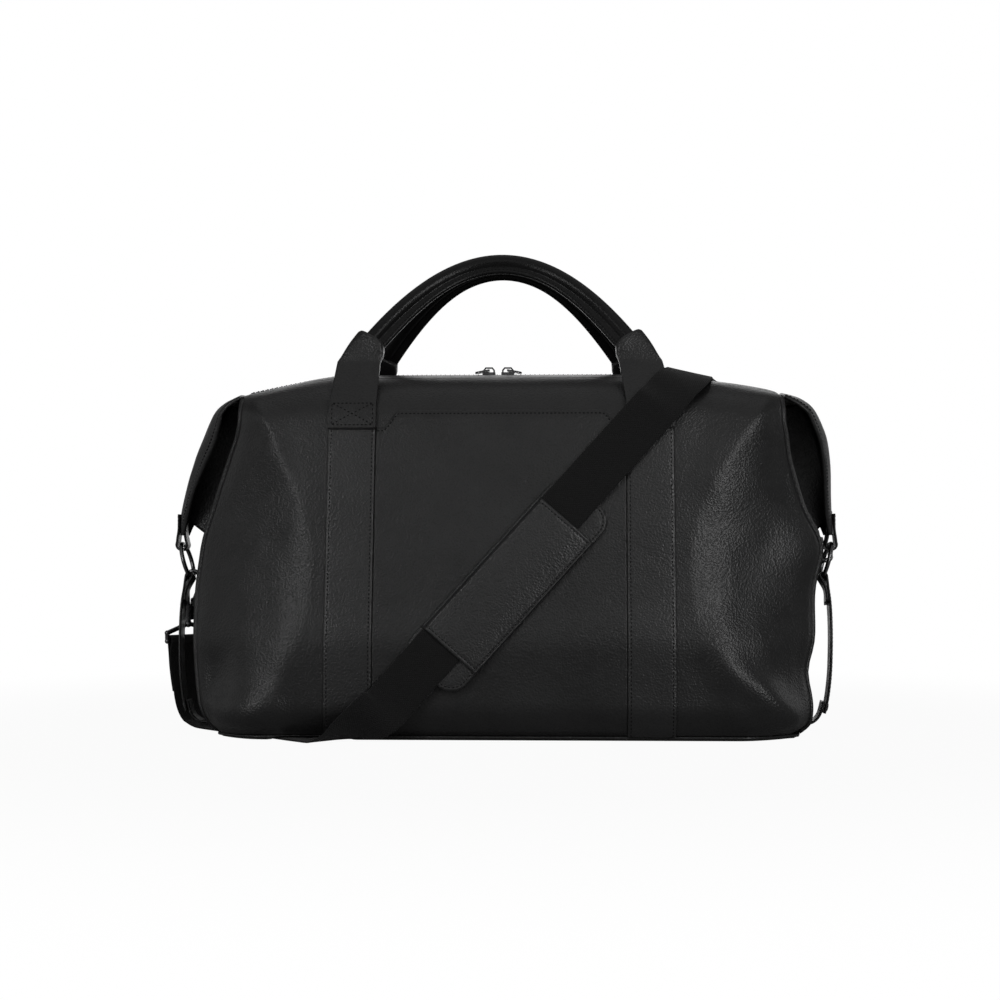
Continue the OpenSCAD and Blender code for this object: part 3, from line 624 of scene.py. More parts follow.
def panel_piece(name, side, t0, t1, rows):
    s, t = three_runs(-1, -0.5, 0.5, 1, (70, 30, 70)), np.linspace(t0, t1, rows)
    inside = 1 - np.abs(s)
    outer = panel_skin(s[:, None], t[None])
    out = grid_normals(outer)
    free = smooth(*FREE_X, np.abs(outer[..., 0])) * smooth(0, FREE_END, inside)[:, None]
    free = free * smooth(t0, t0 + FREE_SEAM, t)[None] * smooth(0, FREE_SEAM, t1 - t)[None]
    outer = slack(outer, out, free) + out * (folds(outer) * free)[..., None]
    out = grid_normals(outer)
    roll = EDGE_ROLL * (1 - smooth(0, EDGE_SHARE, inside))
    outer = outer - out * roll[:, None, None]
    piece = thick(name + "_leather", outer, outer - out * SHELL_T, LEATHER, on_side(side))
    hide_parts(name)


def gusset_piece(name, hand):
    v = np.linspace(-1, 1, 49)
    t = np.linspace(0, SEAM_LEVEL - 1, 60)
    outer = end_skin(v[:, None], t[None], hand)
    out = grid_normals(outer) * hand
    free = smooth(0, 0.12, 1 - np.abs(v))[:, None] * smooth(0, 1, t)[None]
    outer = slack(outer, out, free)
    piece = thick(name + "_leather", outer, outer - out * SHELL_T, LEATHER)
    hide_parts(name)


for side, word in SIDES:
    panel_piece(word + "_panel", side, 0, SEAM_LEVEL, 110)
    panel_piece(word + "_zip_panel", side, SEAM_LEVEL, TOP_LEVEL, 14)
gusset_piece("right_gusset", RIGHT)
gusset_piece("left_gusset", LEFT)


# Shoulder strap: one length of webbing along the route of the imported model

WEBBING_W, WEBBING_T = 38, 1.5
PAD_LIFT, PAD_T, PAD_GAP = 2.3, 2, 0.4
WEBBING_LIFT = PAD_LIFT + PAD_T + PAD_GAP + WEBBING_T / 2
RUN_FOOT, RUN_HEAD, FOOT_TUCK = (-84, 32), (119, 258), 4


def on_flat(x, z, lift):
    """A point over the leaning flat of the front."""
    foot = np.array([x, -(FLAT_FOOT_Y - (z - FLAT_FOOT_Z) * FLAT_SLOPE), z])
    return foot + lift * FLAT_OUT


run_foot, run_head = on_flat(*RUN_FOOT, WEBBING_LIFT), on_flat(*RUN_HEAD, WEBBING_LIFT)
run_dir = unit(run_head - run_foot)
# Places along the route, and the way that the webbing faces there
LEFT_ROUTE = [
    ((-273.1, 10.84, 74.25), (-0.7, 0.7, 0)), ((-273, 11, 61), (-0.7, 0.7, 0)),
    ((-272, 11, 48), (-0.7, 0.7, 0)), ((-270, 11, 34), (-0.7, 0.7, 0)),
    ((-268, 9.5, 22), (-0.7, 0.7, -0.2)), ((-264, 6, 12), (-0.6, 0.6, -0.5)),
    ((-258, 2, 5.4), (-0.4, 0.4, -0.8)), ((-249, -7, 1.8), (-0.1, 0.1, -1)),
    ((-238, -18, 1), (0, 0, -1)), ((-205, -51, 1), (0, 0, -1)), ((-170, -86, 1), (0, 0, -1)),
    ((-145, -111, 1), (0, 0, -1)), ((-134, -121, 1.6), (0, 0, -1)), ((-123, -129, 5.4), (0, -0.2, -0.95)),
    ((-112, -132.5, 13.5), (0, -0.6, -0.75)), (run_foot - 11 * run_dir, FLAT_OUT),
]
UNDER_BASE = (8, 11)
FRONT_ROUTE = [(run_foot + f * (run_head - run_foot) - FOOT_TUCK * (f == 0) * FLAT_OUT, FLAT_OUT)
               for f in np.linspace(0, 1, 7)]
BACK_ROUTE = [
    (run_head + 9 * run_dir, FLAT_OUT), ((132, -84.5, 273.5), (0, -0.95, 0.4)),
    ((140.5, -78, 283.5), (0.1, -0.8, 0.6)), ((148.5, -68.5, 290), (0.15, -0.6, 0.8)),
    ((152.5, -56, 294), (0.2, -0.35, 0.9)), ((154, -39, 296), (0.2, -0.15, 0.95)),
    ((156, -18, 297.3), (0.2, 0, 0.95)), ((160.5, 4, 297), (0.2, 0.1, 0.95)),
    ((167, 26, 295), (0.2, 0.25, 0.95)), ((175.5, 47, 290), (0.2, 0.5, 0.85)),
    ((185, 64, 285), (0.2, 0.7, 0.7)), ((195, 78, 271), (0.25, 0.85, 0.5)),
    ((206, 86, 254), (0.4, 0.9, 0.25)), ((220, 88.5, 236), (0.55, 0.85, 0.1)),
    ((235, 85.5, 219), (0.65, 0.75, 0)), ((250, 79, 203), (0.7, 0.7, -0.1)),
    ((260, 71.5, 190), (0.7, 0.6, -0.3)), ((265, 65, 182), (0.7, 0.55, -0.4)),
    ((267.07, 58.38, 175.27), (0.7, 0.5, -0.5)),
]
ROUTE_STEP, FACING_WEIGHT = 4, 30

BAR_REACH = 3.05
TAIL_L, TAIL_LIFT, TAIL_SEWN, SEWN_IN = 46, 1.6, 14, 4


def bar_nearness(path):
    """1 at the eye's bar, where the path starts, and 0 where the two layers lie on each other."""
    return 1 - smooth(0, TAIL_SEWN, lengths(path))


def end_loop(name, path, wides, outs):
    """The webbing's end, turned round an eye's bar and sewn back on itself. The path starts at the bar."""
    keep = lengths(path) < TAIL_L
    lift = TAIL_LIFT + (BAR_REACH - TAIL_LIFT) * bar_nearness(path)
    tail = (path + lift[:, None] * outs)[keep][::-1]
    turn = np.linspace(0, math.pi, 14)[1:, None]
    arc = path[0] + BAR_REACH * (np.cos(turn) * outs[0] - np.sin(turn) * tangents(path)[0])
    line = np.vstack([tail, arc])
    across = np.vstack([wides[keep][::-1], same(wides[0], len(arc))])
    facing = unit(np.cross(tangents(line), across))
    facing = facing * np.sign(np.sum(facing[0] * outs[keep][-1]))
    piece = sweep(name, line, across, facing, strip_section(WEBBING_W, WEBBING_T), WEBBING, uv=True)
    s, u = lengths(line), np.linspace(SEWN_IN, TAIL_L - TAIL_SEWN, 40)
    top = line + facing * (WEBBING_T / 2 + 0.1)
    at, side, out = (read_off(v, s, u) for v in (top, across, facing))
    rows = []
    for a, b in ((-1, -1), (1, 1), (-1, 1), (1, -1)):
        w = np.linspace(a, b, 40) * (WEBBING_W / 2 - SEWN_IN)
        rows.append((at + side * w[:, None], out))
    return [piece, stitches(name + "_stitches", rows, length=2.4)]


def strap_webbing():
    route = LEFT_ROUTE + FRONT_ROUTE + BACK_ROUTE
    both = np.array([np.concatenate([p, unit(o) * FACING_WEIGHT]) for p, o in route])
    both = even(spline(both, ROUTE_STEP), ROUTE_STEP)
    path, outs = both[:, :3], unit(both[:, 3:])
    wides, outs = ribbon_frames(path, outs)
    pieces = end_loop("webbing_left_end", path, wides, outs)
    pieces += end_loop("webbing_right_end", path[::-1], wides[::-1], outs[::-1])
    near = bar_nearness(path) + bar_nearness(path[::-1])[::-1]
    path = path - BAR_REACH * near[:, None] * outs
    piece = sweep("webbing", path, wides, outs, strip_section(WEBBING_W, WEBBING_T), WEBBING, uv=True)
    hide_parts("webbing_left", "webbing_front", "webbing_back")
    pieces += [NODES[f"{end}_{kind}"] for kind in ("eye", "hook", "gate") for _, end in HANDS]


strap_webbing()


# Vertical straps, sewn on the front and the back from the base seam to the handles

STRAP_X, STRAP_W, STRAP_T, STRAP_CROWN = 119, 38, 2, 0.25
STITCH_IN, STITCH_OVER = 2.6, 0.05
LEVEL_STEP = 0.02


def profile(x, t, lift):
    """A point over the flat middle of the front at t levels up, and the way that the skin faces there."""
    t = np.asarray(t, float)
    at = np.stack([0 * t + x, -level(DEPTH, t), level(HEIGHT, t)], -1)
    above, below = t + LEVEL_STEP, t - LEVEL_STEP
    dy = level(DEPTH, below) - level(DEPTH, above)
    dz = level(HEIGHT, above) - level(HEIGHT, below)
    out = unit(np.stack([0 * t, -dz, dy], -1))
    return at + out * np.asarray(lift, float)[..., None], out


LEVEL_TABLE = np.linspace(0, len(LEVELS) - 1, 600)
LEVEL_HEIGHTS = level(HEIGHT, LEVEL_TABLE)


def level_of(z):
    """The level at a height."""
    return np.interp(z, LEVEL_HEIGHTS, LEVEL_TABLE)


def vertical_strap(name, x, side):
    t = np.linspace(0.02, SEAM_LEVEL - 1, 140)
    flip = on_side(side)
    path, out = profile(x, t, STRAP_T / 2)
    section = strip_section(STRAP_W, STRAP_T, STRAP_CROWN)
    wides = same(X_AXIS, len(path))
    piece = sweep(name + "_leather", path, wides, out, section, STRAP_LEATHER_PAINTED_HIGHLIGHT, flip=flip)
    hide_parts(name)
    sewn, half = t[:-12], STRAP_W / 2 - STITCH_IN
    rows = [profile(at, sewn, STRAP_T + STITCH_OVER) for at in (x - half, x + half)]
    stitches(name + "_stitches", rows, flip=flip)


for side, word in SIDES:
    for hand, end in HANDS:
        vertical_strap(f"{word}_{end}_strap", hand * STRAP_X, side)


# Front slip pocket

POCKET_X, POCKET_FOOT, POCKET_TOP, POCKET_T = 99.6, 6, 262, 1.2
CORNER_X, CORNER_CUT, CUT_STARTS, CUT_ENDS = POCKET_X - 24, 14, POCKET_X - 19, POCKET_X - 5
POCKET_SEWN, POCKET_LIP = 3.0, 0.35


def pocket():
    x = three_runs(-POCKET_X, -CORNER_X, CORNER_X, POCKET_X, (25, 40, 25))
    head = POCKET_TOP - CORNER_CUT * smooth(CUT_STARTS, CUT_ENDS, np.abs(x))
    share = np.concatenate([np.linspace(0, 0.97, 60), [0.99, 0.996, 1.0]])
    heights = POCKET_FOOT + share[None] * (head[:, None] - POCKET_FOOT)
    lifts = POCKET_T * (1 - POCKET_LIP * (share > 0.99)), 0.02
    outer, inner = (profile(x[:, None], level_of(heights), lift)[0] for lift in lifts)
    piece = thick("front_pocket_leather", outer, inner, LEATHER)
    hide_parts("front_pocket")
    line = profile(x, level_of(head - POCKET_SEWN), POCKET_T + STITCH_OVER)
    stitches("front_pocket_stitches", [line])


pocket()


# Handles: a padded roll with a sewn fin, held at each end in a wrapped chape

FOLD_Y, FOLD_Z, HANDLE_LEAN, HANDLE_SHIFT = -62, 303, math.radians(29.3), -2
GRIP_X, GRIP_RISE, GRIP_END = 103, 102, 110
GRIP_DROP = 77.3 / GRIP_X**2
ROLL_R, ROLL_UP, FIN_HALF, FIN_MID, FIN_GROWS, FIN_EVEN = 6.6, 1.0, 2.1, 10.6, 2.2, 30
MOUTH_X, MOUTH_HALF, LIP_TURN = 105, (13.0, 9.6), 0.6
HANDLE_UP = np.array([0, math.sin(HANDLE_LEAN), math.cos(HANDLE_LEAN)])
HANDLE_OUT = np.array([0, -math.cos(HANDLE_LEAN), math.sin(HANDLE_LEAN)])
HANDLE_AT = np.array([HANDLE_SHIFT, FOLD_Y, FOLD_Z])
CHAPE_X, CHAPE_W, CHAPE_HALF_T = 114.5, 35, 2.2
TAB_FOOT, TAB_SEWN, TAB_T = 246, 268, 2


def on_handle(x, up):
    x, up = (np.asarray(v, float)[..., None] for v in (x, up))
    return HANDLE_AT + x * X_AXIS + up * HANDLE_UP


def grip_line(x):
    return GRIP_RISE - GRIP_DROP * x * x


def boxy(a, b, square, n=44):
    """A closed section between a rectangle, at square 0, and an ellipse, at 1."""
    turn = np.linspace(0, 2 * math.pi, n, endpoint=False)
    c, s = np.cos(turn), np.sin(turn)
    p = 0.12 + 0.88 * square
    return np.stack([a * np.sign(c) * np.abs(c) ** p, b * np.sign(s) * np.abs(s) ** p], 1)


def roll_section(reach):
    """A round roll with a flat fin below it that reaches down this far."""
    open_angle = math.pi - math.asin(FIN_HALF / ROLL_R)
    turn = np.linspace(-open_angle, open_angle, 31)
    roll = np.stack([ROLL_UP + ROLL_R * np.cos(turn), ROLL_R * np.sin(turn)], 1)
    top, foot = roll[-1, 0], FIN_HALF - reach
    down = np.linspace(top, foot, 7)[1:]
    round_turn = np.linspace(0, math.pi, 7)[1:-1]
    tip = np.stack([foot - FIN_HALF * np.sin(round_turn), FIN_HALF * np.cos(round_turn)], 1)
    near = np.stack([down, np.full_like(down, FIN_HALF)], 1)
    return np.concatenate([roll, near, tip, near[::-1] * [1, -1]])


def grip(name, side, body):
    x = np.linspace(-GRIP_END, GRIP_END, 121)
    path = on_handle(x, grip_line(x))
    slope = unit(np.stack([np.ones_like(x), -2 * GRIP_DROP * x], 1))
    up = slope[:, :1] * HANDLE_UP - slope[:, 1:] * X_AXIS
    out = same(HANDLE_OUT, len(x))
    reach = FIN_MID + FIN_GROWS * smooth(FIN_EVEN, GRIP_X, np.abs(x))
    sections = np.array([roll_section(r) for r in reach])
    flip = on_side(side)
    piece = sweep(name + "_leather", path, up, out, sections, GRIP_LEATHER_PAINTED_SHADE, body, flip=flip)
    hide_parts(name)
    line = path - (reach - STITCH_IN)[:, None] * up
    rows = [(line + way * FIN_HALF * out, way * out) for way in (-1, 1)]
    stitches(name + "_stitches", rows, body, flip=flip)


def chape(name, hand, side):
    """The tab sewn on the strap and the chape that wraps the grip's end, as one leather strap."""
    t = np.linspace(level_of(TAB_FOOT), level_of(TAB_SEWN), 18)
    lower, out = profile(hand * STRAP_X, t, STRAP_T + TAB_T / 2)
    stations = [(p, X_AXIS, o, boxy(STRAP_W / 2, TAB_T / 2, 0)) for p, o in zip(lower, out)]
    fold = on_handle(hand * CHAPE_X, 0.0)
    for f in np.linspace(0, 1, 9)[1:-1]:
        half = (1 - f) * STRAP_W / 2 + f * CHAPE_W / 2
        tilt = unit((1 - f) * out[-1] + f * HANDLE_OUT)
        section = boxy(half, TAB_T / 2 + f * 1.2, 0.04 * f)
        stations.append((lower[-1] + f * (fold - lower[-1]), X_AXIS, tilt, section))
    end_wide = unit(2 * GRIP_DROP * MOUTH_X * X_AXIS + hand * HANDLE_UP)
    foot, end = np.array([hand * CHAPE_X, 0.0]), np.array([hand * MOUTH_X, grip_line(MOUTH_X)])
    for f in np.concatenate([np.linspace(0, 0.94, 14), [0.97, 1.0]]):
        turned, lip = smooth(0.1, 1, f), LIP_TURN * smooth(0.94, 1, f)
        wide = unit((1 - turned) * X_AXIS + turned * end_wide)
        half = CHAPE_W / 2 + (MOUTH_HALF[0] - CHAPE_W / 2) * f - lip
        deep = CHAPE_HALF_T + (MOUTH_HALF[1] - CHAPE_HALF_T) * f - lip
        place = on_handle(*(foot + (end - foot) * f))
        stations.append((place, wide, HANDLE_OUT, boxy(half, deep, 0.08 + 0.5 * f)))
    path, wides, outs, sections = (np.array(v) for v in zip(*stations))
    flip = on_side(side)
    piece = sweep(name + "_chape_leather", path, wides, outs, sections, LEATHER, None, flip=flip)
    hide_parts(name + "_tab", name + "_chape")
    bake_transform(piece)
    low, high = level_of(TAB_FOOT + 3), level_of(TAB_SEWN - 2)
    x0, half, f = hand * STRAP_X, STRAP_W / 2 - STITCH_IN, np.linspace(0, 1, 30)[:, None]
    corners = np.array([(x0 - half, low), (x0 + half, low), (x0 + half, high), (x0 - half, high)])
    rows = []
    for a, b in ((0, 1), (1, 2), (2, 3), (3, 0), (0, 2), (1, 3)):
        line_x, line_t = (corners[a] + f * (corners[b] - corners[a])).T
        rows.append(profile(line_x, line_t, TAB_T + STRAP_T + STITCH_OVER))
    stitches(name + "_cross_stitches", rows, flip=flip)


for side, word in SIDES:
    grip(word + "_grip", side, word + "_handle")
    for hand, end in HANDS:
        chape(f"{word}_{end}", hand, side)


# Shoulder pad: a padded base layer behind the webbing, and a sewn sleeve over it

PAD_ALONG, PAD_ACROSS, PAD_L, PAD_W, PAD_ROUND, SLEEVE_L = -25, -7, 190, 57, 16, 138
PAD_LEFT, PAD_RIGHT = PAD_ACROSS + PAD_W / 2, PAD_ACROSS - PAD_W / 2
# Insets from the pad's outline, and the heights there
PAD_RINGS = [(0.6, 0.0), (0.0, 0.5), (0.0, 1.2), (0.6, 1.75), (2.0, 1.9), (3.2, 1.6), (4.4, 1.95), (8, 2.0),
             (15, 2.0)]
PAD_SEWN_Z, HEM_T, SLEEVE_SEWN = 1.75, 1.7, 3
run_mid = (run_foot + run_head) / 2
run_side = np.cross(FLAT_OUT, run_dir)


def on_run(u, w, lift):
    """A point over the front, u along the webbing from the pad's middle, w across it."""
    u, w, lift = (np.asarray(v, float)[..., None] for v in (u, w, lift))
    return run_mid + (PAD_ALONG + u) * run_dir + w * run_side + (lift - WEBBING_LIFT) * FLAT_OUT


def round_outline(half_l, half_w, r, n=24):
    """A rectangle with round corners."""
    rows = []
    for quarter, (x, y) in enumerate(((1, 1), (-1, 1), (-1, -1), (1, -1))):
        turn = np.linspace(0, math.pi / 2, n) + quarter * math.pi / 2
        rows.append(np.stack([x * (half_l - r) + r * np.cos(turn), y * (half_w - r) + r * np.sin(turn)], 1))
    return np.vstack(rows)


def pad_base():
    verts = []
    for inset, height in PAD_RINGS:
        o = round_outline(PAD_L / 2 - inset, PAD_W / 2 - inset, PAD_ROUND - min(inset, 14))
        verts.append(on_run(o[:, 0], o[:, 1] + PAD_ACROSS, PAD_LIFT + height))
    faces = tube(len(verts), len(verts[0]))
    base = make("pad_base_leather", np.vstack(verts), faces, LEATHER, "shoulder_pad")
    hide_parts("pad_base")
    line = round_outline(PAD_L / 2 - STITCH_IN, PAD_W / 2 - STITCH_IN, PAD_ROUND - STITCH_IN)
    line = np.vstack([line, line[:1]])
    line = on_run(line[:, 0], line[:, 1] + PAD_ACROSS, PAD_LIFT + PAD_SEWN_Z)
    stitches("pad_base_stitches", [(line, same(FLAT_OUT, len(line)))], "shoulder_pad")


def sleeve_height(w):
    """Height of the sleeve's face over the pad's base, at w across the webbing."""
    edge = np.minimum(PAD_LEFT - w, w - PAD_RIGHT)
    rise = smooth(PAD_LEFT, WEBBING_W / 2 - 3, w) * smooth(PAD_RIGHT, -WEBBING_W / 2 + 2, w)
    crown = WEBBING_T + 2 * PAD_GAP + 1.5 + 0.6 * (1 - (w / WEBBING_W * 2) ** 2).clip(0, 1)
    bead, groove = np.exp(-((edge - 1.2) / 0.9) ** 2), np.exp(-((edge - STITCH_IN) / 0.7) ** 2)
    hem = HEM_T + 0.35 * bead - 0.7 * groove
    return (hem + (crown - HEM_T) * rise) * smooth(-0.5, 0.6, edge)


def pad_sleeve():
    foot, roof = PAD_LIFT + PAD_T, WEBBING_LIFT + WEBBING_T / 2 + PAD_GAP
    w = three_runs(PAD_LEFT, PAD_LEFT - 6, PAD_RIGHT + 8, PAD_RIGHT, (16, 40, 18))
    slot = WEBBING_W / 2 + 0.5
    under = np.array([[PAD_RIGHT, foot], [-slot - 0.4, foot], [-slot, roof], [slot, roof], [slot + 0.4, foot],
                      [PAD_LEFT, foot]])
    section = np.vstack([np.stack([w, foot + 0.1 + sleeve_height(w)], 1), under])
    half, hem = SLEEVE_L / 2, np.array([0, 0.4, 1, 2.2, 3, 3.8])
    u = np.concatenate([hem - half, np.linspace(-half + 5, half - 5, 40), (half - hem)[::-1]])
    end = half - np.abs(u)
    sink = 0.8 * (1 - smooth(0, 0.9, end)) + 0.4 * np.exp(-((end - SLEEVE_SEWN) / 0.7) ** 2)
    sections = np.repeat(section[None], len(u), 0)
    sections[:, : len(w), 1] = np.maximum(sections[:, : len(w), 1] - sink[:, None], foot + 0.05)
    path, sides, outs = on_run(u, 0, 0), same(run_side, len(u)), same(FLAT_OUT, len(u))
    sleeve = sweep("pad_sleeve_leather", path, sides, outs, sections, STRAP_LEATHER_PAINTED_HIGHLIGHT, "shoulder_pad")
    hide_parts("pad_sleeve")
    along = np.linspace(-half + SLEEVE_SEWN, half - SLEEVE_SEWN, 40)
    across = np.linspace(PAD_LEFT - STITCH_IN, PAD_RIGHT + STITCH_IN, 40)
    rows = [on_run(along, w, foot + 0.1 + sleeve_height(w)) for w in across[[0, -1]]]
    rows += [on_run(u, across, foot - 0.25 + sleeve_height(across)) for u in along[[0, -1]]]
    rows = [(row, same(FLAT_OUT, len(row))) for row in rows]
    stitches("pad_sleeve_stitches", rows, "shoulder_pad")


pad_base()
pad_sleeve()


# Wings: the ends of the zip panels, arched over the ends of the bag and drooping to the rings

WING_PATH = [(224, 281.5), (232, 280), (241, 277), (251, 270), (258.5, 258), (266.5, 236), (271.5, 215.5),
             (274.5, 194), (276.5, 176), (276.5, 163)]
WING_HALF = [55, 56, 56, 55, 52, 44, 35, 25, 15, 9.5]
WING_ARCH = {LEFT: [5, 8, 11, 15, 17, 16, 13, 9, 6, 2], RIGHT: [5, 7, 9, 10, 11, 10, 9, 7, 5, 2]}
WING_BACK_ARCH = [6, 12, 20, 27, 30, 28, 24, 16, 7, 2]
WING_T, WING_SLUMPS, WING_STEP = 2.5, (178, 228), 2.5
# Depth and width of the wing's rolled edge and sewn groove, then height, size and seed of its unevenness
WING_EDGE, WING_GROOVE, WING_UNEVEN, WING_SEED = (0.9, 1.6), (0.45, 0.8), (1.1, 34), 11.3
WEB_FEET, WEB_HEAD, WEB_T, WEB_SLACK, WEB_WAVE = (148, 178), 274, 1.5, 3, 17


def wing(word, hand):
    table = np.column_stack([WING_PATH, WING_HALF, WING_ARCH[hand], WING_BACK_ARCH])
    x, z, half, front_arch, back_arch = even(spline(table, 3), WING_STEP).T
    path = np.stack([x + hand * lean(x, z) * smooth(*WING_SLUMPS, z), 0 * z, z], 1)
    run = tangents(path)
    out = np.stack([-run[:, 2], 0 * z, run[:, 0]], 1)

    def on_wing(v, lift):
        flat = path[:, None] - (half[:, None] * v)[..., None] * FORWARD
        arch = np.where(v < 0, front_arch[:, None], back_arch[:, None])
        return flat + (lift - arch * v * v)[..., None] * out[:, None]

    v = three_runs(-1, -0.9, 0.9, 1, (9, 41, 9))[None]
    edge = (1 - np.abs(v)) * half[:, None]
    groove = np.exp(-((edge - STITCH_IN) / WING_GROOVE[1]) ** 2)
    outer = on_wing(v, -WING_EDGE[0] * (1 - smooth(0, WING_EDGE[1], edge)) - WING_GROOVE[0] * groove)
    for i in np.ndindex(outer.shape[:2]):
        dent = wobble(outer[i] * [1, hand, 1], WING_UNEVEN[1], WING_SEED + hand)
        outer[i] += out[i[0]] * WING_UNEVEN[0] * dent
    flip = on_hand(hand)
    piece = thick(word + "_wing_leather", outer, outer - WING_T * out[:, None], LEATHER, flip)
    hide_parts(word + "_wing")
    seams = [(on_wing(side * (1 - STITCH_IN / half)[:, None], 0.0)[:, 0], out) for side in (-1, 1)]
    stitches(word + "_wing_stitches", seams, flip=flip)

    low, high = (np.linspace(foot, WEB_HEAD, 40) for foot in WEB_FEET)
    near = end_skin(0 * low, level_of(low), hand) * flip
    far = np.stack([np.interp(high, path[::-1, 2], path[::-1, 0]) - WING_T, 0 * high, high], 1)
    share = np.linspace(0, 1, 12)[None, :, None]
    web = near[:, None] + share * (far - near)[:, None]
    web[..., 1] += WEB_SLACK * np.sin(math.pi * share[..., 0]) * np.sin(high / WEB_WAVE)[:, None]
    piece = thick(word + "_wing_web", web, web + [0, WEB_T, 0], LEATHER, flip)


# Tabs round the rings, and the side straps from the rings to the base

RING_X, RING_Z, RING_R, RING_TILT = 271.5, 141, 15.5, math.radians(15.4)
LOOP_R, LOOP_SINK, LOOP_T, RING_TAB_W = 4.4, 0.9, 1.9, 14
TAB_OUTER = [(277.7, 0, 181), (277.7, 0, 176), (277.9, 0, 168), (278.9, 0, 161)]
TAB_INNER = [(272.6, 0, 163), (273.1, 0, 169), (273.1, 0, 174), (273.1, 0, 178)]
TAB_BOX = [(-5, 167), (-5, 179.5), (5, 179.5), (5, 167), (-5, 167)]
SIDE_W, SIDE_T, SIDE_SEWN_IN, SIDE_SEWN_TOP = 16, 2, 2.2, 118
SIDE_LOOP_R, SIDE_LOOP_W, SIDE_LOOP_ANGLE, SIDE_TAIL = 2.9, 9, math.radians(155), 2.1
SIDE_ROUTE = [(271.8, -8, 117), (272.4, -11, 106), (272.6, -15, 92), (272.2, -19, 72), (271, -22, 48),
              (268.8, -22, 28), (266, -22, 15)]
BASE_TAB_ROUTE = [(241, -22, 8), (248.5, -22, 6.5), (256, -22, 7.5), (262, -22, 13.5), (265.4, -22, 25)]


def loop_at(angle, sink):
    """Middle of a leather loop round the ring's wire, and the way that the wire runs there."""
    up = np.array([math.sin(RING_TILT), 0, math.cos(RING_TILT)])
    c, s = math.cos(angle), math.sin(angle)
    middle = np.array([RING_X, 0, RING_Z]) + (RING_R - sink) * (c * up + s * FORWARD)
    return middle, c * FORWARD - s * up


def strap_piece(node, path, wides, widths, thickness, hand):
    outs = unit(np.cross(wides, tangents(path)))
    sections = np.array([strip_section(w, thickness, 0.15) for w in widths])
    piece = sweep(node + "_leather", path, wides, outs, sections, LEATHER, flip=on_hand(hand))
    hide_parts(node)
    return outs


def ring_tab(word, hand):
    middle, _ = loop_at(0, LOOP_SINK)
    turn = np.radians(np.linspace(25, -205, 24))
    arc = middle + LOOP_R * np.stack([np.cos(turn), 0 * turn, np.sin(turn)], 1)
    path = even(spline(np.vstack([TAB_OUTER, arc, TAB_INNER]), 1.0), 1.0)
    n = len(path)
    strap_piece(word + "_ring_tab", path, same(FORWARD, n), np.full(n, RING_TAB_W), LOOP_T, hand)
    face_x = TAB_OUTER[0][0] + LOOP_T / 2 + 0.1
    box = even(np.array([(face_x, *corner) for corner in TAB_BOX]), 1)
    rows = [(box, same(X_AXIS, len(box)))]
    stitches(word + "_ring_tab_stitches", rows, length=2.4, flip=on_hand(hand))


def side_strap(word, hand):
    """A strap that loops round the ring's wire and comes down to a tab at the base."""
    middle, wire = loop_at(SIDE_LOOP_ANGLE, 0)
    wire = wire if wire[1] < 0 else -wire
    away = unit(X_AXIS - wire[0] * wire)
    lift = np.cross(away, wire)
    lift = lift if lift[2] > 0 else -lift
    turn = np.radians(np.linspace(190, -10, 22))[:, None]
    arc = middle + SIDE_LOOP_R * (np.cos(turn) * away + np.sin(turn) * lift)
    tail = np.array(SIDE_ROUTE[0:2])[::-1] - [SIDE_TAIL, 0, 0]
    path = np.vstack([tail, arc, SIDE_ROUTE])
    widths = np.concatenate([[SIDE_W, SIDE_W - 2], np.full(len(arc), SIDE_LOOP_W), [12], np.full(6, SIDE_W)])
    wides = np.vstack([same(FORWARD, 2), same(wire, len(arc)), same(FORWARD, len(SIDE_ROUTE))])
    rows = even(spline(np.column_stack([path, widths, wides * 10]), 1.5), 1.5)
    path, widths, wides = rows[:, :3], rows[:, 3], rows[:, 4:]
    run = tangents(path)
    wides = unit(wides - np.sum(wides * run, 1, keepdims=True) * run)
    outs = strap_piece(word + "_side_strap", path, wides, widths, SIDE_T, hand)
    down = (path[:, 2] < SIDE_SEWN_TOP) & (np.arange(len(path)) > np.argmax(path[:, 2]))
    outs = outs * np.sign(outs[down][:1, :1])
    lines = []
    for side in (-1, 1):
        line = path + side * (widths / 2 - SIDE_SEWN_IN)[:, None] * wides + outs * (SIDE_T / 2 + 0.2)
        lines.append((line[down], outs[down]))
    stitches(word + "_side_strap_stitches", lines, pitch=3.4, length=2.4, size=0.36, flip=on_hand(hand))

    tab = even(spline(BASE_TAB_ROUTE, 1.5), 1.5)
    n = len(tab)
    strap_piece(word + "_base_tab", tab, same(FORWARD, n), np.full(n, SIDE_W), SIDE_T, hand)


for hand, word in HANDS:
    wing(word, hand)
    ring_tab(word, hand)
    side_strap(word, hand)


# Base: a sheet with a shallow hollow for the webbing, and piping round its seam

BASE_T, GROOVE_DEPTH, GROOVE_HALF = 4, 3, 21
WELT_R, WELT_FLAT, WELT_OUT, BASE_SHARE = 1.3, 0.8, 0.3, 0.99
BASE_FOOT, BASE_EDGE_RISE, BASE_MIDDLE = 0.3, 1.2, 0.02


def base_outline(n):
    """The foot of the skin, all the way round, as even points."""
    s, v = np.linspace(-1, 1, 160), np.linspace(-1, 1, 80)
    front, right, left = panel_skin(s, 0 * s), end_skin(v, 0 * v, RIGHT), end_skin(v, 0 * v, LEFT)
    line = np.vstack([front[:-1], right[:-1], (front * on_side(BACK))[:0:-1], left[:0:-1]])
    line = even(np.vstack([line, line[:1]]), lengths(line)[-1] / n)
    return line[:-1, :2]


def in_groove(xy):
    """1 where the webbing runs under the base, 0 away from it."""
    a, b = (np.array(LEFT_ROUTE[i][0][:2], float) for i in UNDER_BASE)
    along = unit(b - a)
    off = np.abs((xy - a) @ np.array([-along[1], along[0]]))
    return 1 - smooth(GROOVE_HALF - 3, GROOVE_HALF + 3, off)


